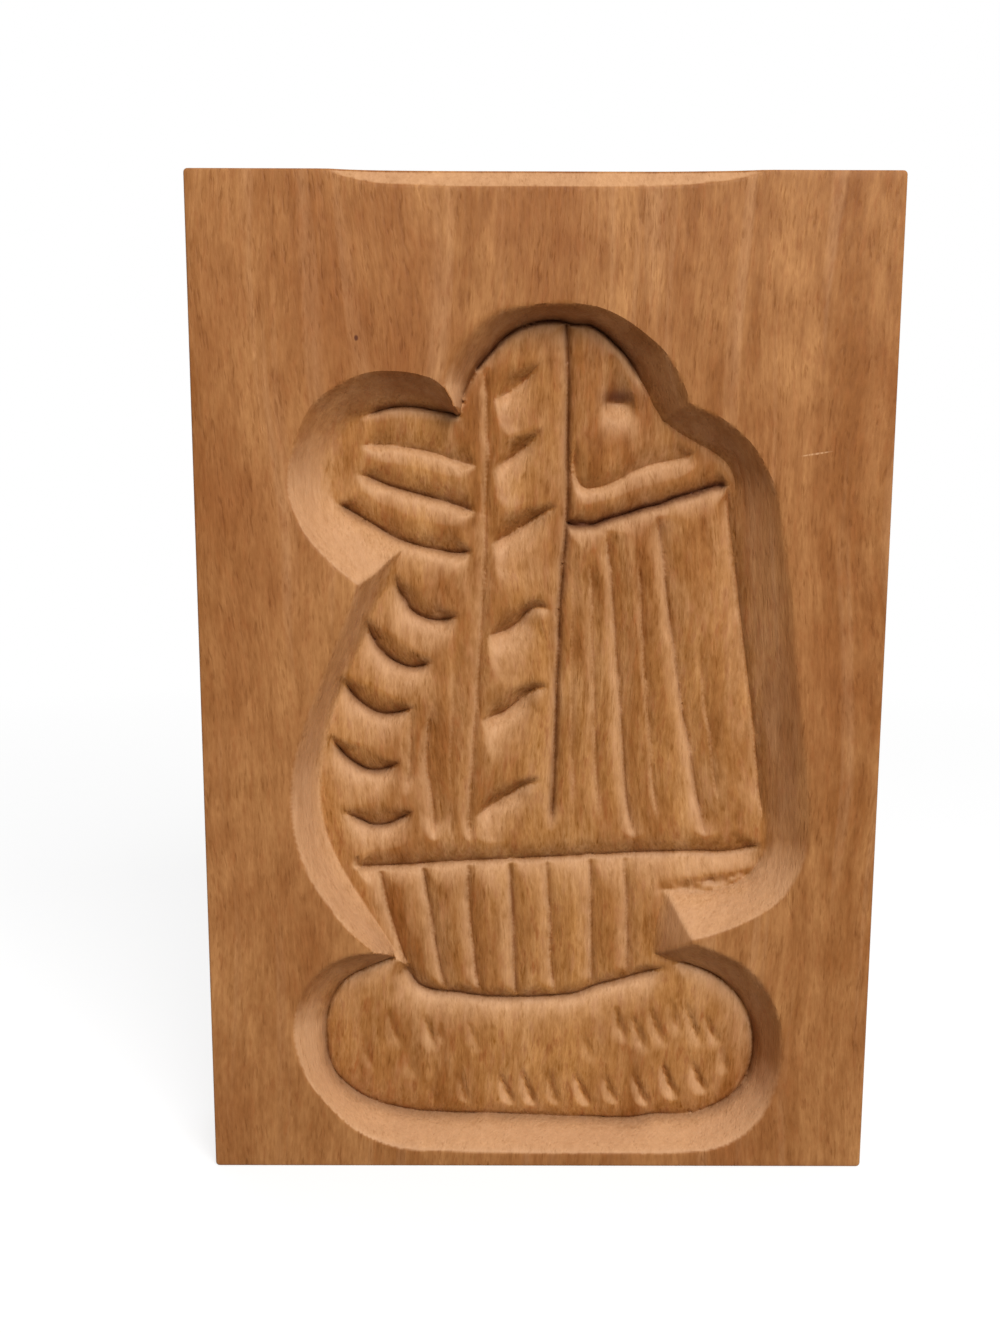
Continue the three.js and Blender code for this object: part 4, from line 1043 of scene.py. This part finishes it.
def beech_wood(finish):
    """Beech cut along the grain: growth bands and fibres that run up the plank, short dark ray flecks, a
    darker and more broken grain in the hollow, paler gouged walls, a brown deposit with painted crease shade
    in the cuts, a painted highlight on slopes that face up and right and painted shade on those that face
    down."""
    material, bench = new_material("beech_wood")
    where = bench.node("ShaderNodeTexCoord").outputs["Object"]
    noise, height = wood_noises(bench, where)
    part = wood_parts(bench, finish)
    ray = bench.times(bench.ramp(noise.rays, *RAMPS["rays"]), bench.ramp(noise.specks, *RAMPS["specks"]))
    ray = bench.times(ray, finish.ray_strength)
    colour = wood_colour(bench, finish, noise, part)
    shade = wood_shade(bench, finish, noise, part, height, ray)
    colour = bench.vector_math("MULTIPLY", colour, shade).outputs[0]
    scratch = bench.spot(where, SCRATCH, SCRATCH_SLOPE)
    scratch = bench.times(scratch, bench.ramp(noise.rays, *RAMPS["scratch"]))
    # The first mix paints the brown deposit with painted crease shade into the cuts and the dimple's painted
    # shade.
    for share, strength, over in (
        (part.crease, finish.deposit, finish.deposit_and_shade_colour),
        (bench.spot(where, PIN_HOLE), PIN_HOLE_STRENGTH, finish.deposit_and_shade_colour),
        (scratch, SCRATCH_STRENGTH, finish.fresh_and_highlight_colour),
    ):
        colour = bench.mix(bench.times(share, strength), colour, over)

    raised = bench.times_plus(noise.streaks, STREAK_HEIGHT, bench.times(noise.fibres, FIBRE_HEIGHT))
    raised = bench.times_plus(noise.broken, bench.times(part.hollow, BROKEN_HEIGHT), raised)
    raised = bench.times_plus(ray, RAY_HEIGHT, raised)
    inputs = {"Strength": finish.relief, "Distance": BUMP_HEIGHT, "Height": raised}
    bump = bench.node("ShaderNodeBump", inputs)
    shader = bench.node("ShaderNodeBsdfPrincipled", {
        "Base Color": colour,
        "Roughness": bench.times_plus(noise.fibres, FIBRE_ROUGHNESS, finish.roughness),
        "IOR": WOOD_IOR,
        "Specular IOR Level": finish.gloss,
        "Normal": bump.outputs[0],
    })
    bench.node("ShaderNodeOutputMaterial", {"Surface": shader.outputs[0]})
    return material


# Half the side of the floor and the distances at which it starts to turn white and is white, in m.
FLOOR_HALF = 3.0
FLOOR_FADE = (0.22, 0.6)
# How steeply up and how far back a direction points, between -1 and 1, where the even light from above and
# the one from behind start and are full.
AIR_UPWARD = (-0.6, 0.9)
AIR_BACKWARD = (0.1, 0.9)
# The lamp's distance from the board's middle and its side, in m.
LAMP_DISTANCE = 0.9
LAMP_SIDE = 0.5


def pale_floor(stage):
    """A plain pale floor. Seen straight, in gloss or through glass it adds its own light, which turns fully
    white with the distance from the board, and the board's shadow stays on it near the board."""
    material, bench = new_material("pale_floor")
    where = bench.node("ShaderNodeTexCoord").outputs["Object"]
    far = bench.ramp(bench.vector_math("LENGTH", where).outputs["Value"], *FLOOR_FADE)
    diffuse = bench.node("ShaderNodeBsdfDiffuse", {"Color": (*stage.floor_colour, 1.0)}).outputs[0]
    lift = bench.node("ShaderNodeEmission", {"Strength": stage.floor_lift}).outputs[0]
    white = bench.node("ShaderNodeEmission", {"Strength": 1.0}).outputs[0]
    lit = bench.node("ShaderNodeAddShader", {0: diffuse, 1: lift}).outputs[0]
    shown = bench.mix_shader(bench.seen_straight(), diffuse, bench.mix_shader(far, lit, white))
    bench.node("ShaderNodeOutputMaterial", {"Surface": shown})
    return material


def white_world(stage):
    """White where it is seen straight, in gloss or through glass. For all other rays an even light that
    grows from below to above, plus one that grows towards the back."""
    world = bpy.data.worlds.new("studio_air")
    world.use_nodes = True
    bench = NodeBench(world.node_tree)
    _, back, up = bench.parts(bench.node("ShaderNodeTexCoord").outputs["Generated"])
    strength = bench.times(bench.ramp(back, *AIR_BACKWARD), stage.air_behind)
    strength = bench.math("ADD", strength, stage.air_below)
    strength = bench.times_plus(bench.ramp(up, *AIR_UPWARD), stage.air_above - stage.air_below, strength)
    air = bench.node("ShaderNodeBackground", {"Color": (*stage.air_colour, 1.0), "Strength": strength})
    white = bench.node("ShaderNodeBackground", {"Color": (1.0, 1.0, 1.0, 1.0), "Strength": 1.0})
    shown = bench.mix_shader(bench.seen_straight(), air.outputs[0], white.outputs[0])
    bench.node("ShaderNodeOutputWorld", {"Surface": shown})
    return world


def soft_lamp(target, stage):
    """A square soft lamp that faces the target, placed by its azimuth (0 in front, positive to the right),
    its elevation and its distance."""
    data = bpy.data.lights.new("lamp_above", "AREA")
    data.shape = "SQUARE"
    data.size = LAMP_SIDE
    data.energy = stage.key_power
    lamp = bpy.data.objects.new("lamp_above", data)
    flat = math.cos(stage.key_elevation)
    toward = Vector((math.sin(stage.key_azimuth) * flat, -math.cos(stage.key_azimuth) * flat,
                     math.sin(stage.key_elevation)))
    lamp.location = target + toward * LAMP_DISTANCE
    lamp.rotation_euler = (-toward).to_track_quat("-Z", "Y").to_euler()
    return lamp


def number(name, description, default, **kind):
    """A number that the panel shows, with its unit or subtype where it has one."""
    return bpy.props.FloatProperty(name=name, description=description, default=default, **kind)


def paint(name, description, default):
    """A colour that the panel shows."""
    return bpy.props.FloatVectorProperty(name=name, description=description, default=default, subtype="COLOR")


class BoardSizes(bpy.types.PropertyGroup):
    width: number("Width", "Width of the plank", PLANK_HIGH.x - PLANK_LOW.x, unit="LENGTH")
    height: number("Height", "Height of the plank", PLANK_HIGH.z - PLANK_LOW.z, unit="LENGTH")
    thickness: number("Thickness", "Thickness of the plank", PLANK_HIGH.y - PLANK_LOW.y, unit="LENGTH")
    arris: number("Edge rounding", "Radius of the plank's rounded edges", 0.0005, unit="LENGTH")


class CarvingCuts(bpy.types.PropertyGroup):
    bed_depth: number("Bed depth", "Depth of the hollow's bed", 0.008, unit="LENGTH")
    crown: number("Bed crown", "How far the bed rises away from its edge", 0.0004, unit="LENGTH")
    groove_depth: number("Cut scale", "How deep the cuts on the bed are, 1 as drawn", 0.75)
    gouge_scale: number("Flute scale", "How deep the short flutes on the sea are, 1 as drawn", 1.5)
    dimple_depth: number("Dimple depth", "Depth of the dimple in the topsail", 0.003, unit="LENGTH")
    scoop_slope: number("Top scoop slope", "Fall of the scoop along the top edge", 0.75)
    unevenness: number("Unevenness", "Strength of the hand-cut unevenness, 1 as made", 1.0)
    spacing: number("Point spacing", "Spacing of the carving's points, in millimetres", 0.56)


class WoodFinish(bpy.types.PropertyGroup):
    light_colour: paint("Light bands", "Colour of the light growth bands", (0.447, 0.204, 0.070))
    dark_colour: paint("Dark bands", "Colour of the dark growth bands", (0.248, 0.088, 0.021))
    red_colour: paint("Red patches", "Colour of the redder patches", (0.250, 0.080, 0.020))
    # Also the colour of the painted highlight on slopes that face up.
    fresh_and_highlight_colour: paint("Gouged wood", "Colour of the paler gouged walls", (0.57, 0.31, 0.155))
    # The colour of the painted shade on slopes that face down.
    painted_shade_colour: paint("Shaded wood", "Colour of the slopes that face down", (0.130, 0.044, 0.014))
    # Colour of the brown deposit and painted crease shade in the cuts and the dimple, also used for the pin
    # hole.
    deposit_and_shade_colour: paint("Deposit", "Colour of the brown deposit in the cuts", (0.080, 0.020, 0.009))
    streak_strength: number("Streaks", "Contrast of the streaks along the grain", 0.55)
    fibre_strength: number("Fibres", "Contrast of the finest fibres", 0.5)
    ray_strength: number("Ray flecks", "Darkness of the short ray flecks", 0.2)
    wall_paleness: number("Wall paleness", "How much paler the gouged walls are", 0.12)
    # How strong the painted highlight on slopes that face up is.
    painted_light: number("Highlight", "How pale the slopes that face up are", 0.68)
    # How strong the painted shade on slopes that face down is.
    painted_shade: number("Shading", "How brown the slopes that face down are", 0.22)
    # How much brown deposit and painted crease shade lies in the cuts.
    deposit: number("Deposit amount", "How much brown deposit lies in the cuts", 0.85)
    roughness: number("Roughness", "Roughness of the oiled surface, without its fibres", 0.42)
    gloss: number("Gloss", "Strength of the mirror reflection, 0.5 as on plain varnish", 0.12)
    relief: number("Fibre relief", "Strength of the fibre bump", 0.5)


class StageSettings(bpy.types.PropertyGroup):
    floor_colour: paint("Floor colour", "Colour of the plain floor", (0.35, 0.35, 0.35))
    floor_lift: number("Floor lift", "Own light of the floor where it is seen", 0.7)
    air_colour: paint("Air colour", "Colour of the even light", (1.0, 1.0, 1.0))
    air_above: number("Air above", "Strength of the even light from above", 0.5)
    air_below: number("Air below", "Strength of the even light from below", 0.18)
    air_behind: number("Air behind", "Strength of the even light that falls on the back", 0.45)
    key_power: number("Key power", "Power of the lamp above", 8.15, unit="POWER")
    key_azimuth: number("Key side", "Angle of the lamp above, to the right of the front", math.radians(18),
                        subtype="ANGLE")
    key_elevation: number("Key height", "Angle of the lamp above over the floor", math.radians(35),
                          subtype="ANGLE")


# The photograph's camera: its place, its tilt down, turn and roll in degrees, and its lens and film height
# in mm, all worked out from the four corners of the plank's face as they lie in the photograph.
CAMERA_PLACE = Vector((-0.0088, PLANK_LOW.y - 0.2626, 0.1487))
CAMERA_TURNS = (9.2, 0.12, 0.16)
CAMERA_LENS = 36.46
FILM_HEIGHT = 36.0
NEAREST_SEEN = 0.01


def photo_camera():
    """The photograph's camera: forward is turned from +y by the turn and then down by the tilt, right is
    level, up is right x forward, and right and up are rolled round forward."""
    pitch, yaw, roll = (math.radians(turn) for turn in CAMERA_TURNS)
    forward = Vector((math.sin(yaw) * math.cos(pitch), math.cos(yaw) * math.cos(pitch), -math.sin(pitch)))
    level = Vector((math.cos(yaw), -math.sin(yaw), 0))
    above = level.cross(forward)
    right = level * math.cos(roll) + above * math.sin(roll)
    up = above * math.cos(roll) - level * math.sin(roll)
    data = bpy.data.cameras.new("camera")
    data.sensor_fit = "VERTICAL"
    data.sensor_height = FILM_HEIGHT
    data.lens = CAMERA_LENS
    data.clip_start = NEAREST_SEEN
    camera = bpy.data.objects.new("camera", data)
    turned = Matrix((right, up, -forward)).transposed().to_4x4()
    camera.matrix_world = Matrix.Translation(CAMERA_PLACE) @ turned
    return camera


class SPECULAAS_OT_board(bpy.types.Operator):
    """Carves the plank's hollow and gives it the beech finish"""
    bl_idname = "speculaas.board"
    bl_label = "Carved board"

    def execute(self, context):
        scene = context.scene
        mesh = board_mesh(scene.board_sizes, scene.carving_cuts)
        mesh.materials.append(beech_wood(scene.wood_finish))
        board = bpy.data.objects.new("carved_board", mesh)
        scene.collection.objects.link(board)
        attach(board, "root")
        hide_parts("board")
        return {"FINISHED"}


class SPECULAAS_OT_stage(bpy.types.Operator):
    """Adds the pale floor, the soft lamp, the white surroundings and the camera of the photograph"""
    bl_idname = "speculaas.stage"
    bl_label = "Stage"

    def execute(self, context):
        scene = context.scene
        stage = scene.stage_settings
        mesh = bpy.data.meshes.new("floor")
        corners = [(x * FLOOR_HALF, y * FLOOR_HALF, 0) for x, y in ((-1, -1), (1, -1), (1, 1), (-1, 1))]
        mesh.from_pydata(corners, [], [(0, 1, 2, 3)])
        mesh.materials.append(pale_floor(stage))
        floor = bpy.data.objects.new("floor", mesh)
        scene.collection.objects.link(floor)
        scene.world = white_world(stage)
        scene.collection.objects.link(soft_lamp((PLANK_LOW + PLANK_HIGH) / 2, stage))
        scene.camera = photo_camera()
        scene.collection.objects.link(scene.camera)
        scene.view_settings.view_transform = "Standard"
        return {"FINISHED"}


class SPECULAAS_PT_panel(bpy.types.Panel):
    bl_idname = "SPECULAAS_PT_panel"
    bl_label = "Speculaas board"
    bl_space_type = "VIEW_3D"
    bl_region_type = "UI"
    bl_category = "Speculaas board"

    def draw(self, context):
        scene = context.scene
        groups = ((scene.board_sizes, None), (scene.carving_cuts, None),
                  (scene.wood_finish, SPECULAAS_OT_board), (scene.stage_settings, SPECULAAS_OT_stage))
        for settings, operator in groups:
            box = self.layout.box()
            for name in type(settings).__annotations__:
                box.prop(settings, name)
            if operator:
                box.operator(operator.bl_idname)


GROUPS = {
    "board_sizes": BoardSizes,
    "carving_cuts": CarvingCuts,
    "wood_finish": WoodFinish,
    "stage_settings": StageSettings,
}
CLASSES = (*GROUPS.values(), SPECULAAS_OT_board, SPECULAAS_OT_stage, SPECULAAS_PT_panel)


def register():
    for cls in CLASSES:
        bpy.utils.register_class(cls)
    for name, group in GROUPS.items():
        setattr(bpy.types.Scene, name, bpy.props.PointerProperty(type=group))


def unregister():
    for name in GROUPS:
        delattr(bpy.types.Scene, name)
    for cls in reversed(CLASSES):
        bpy.utils.unregister_class(cls)


def main():
    register()
    bpy.ops.speculaas.board()
    bpy.ops.speculaas.stage()


if __name__ == "__main__":
    main()
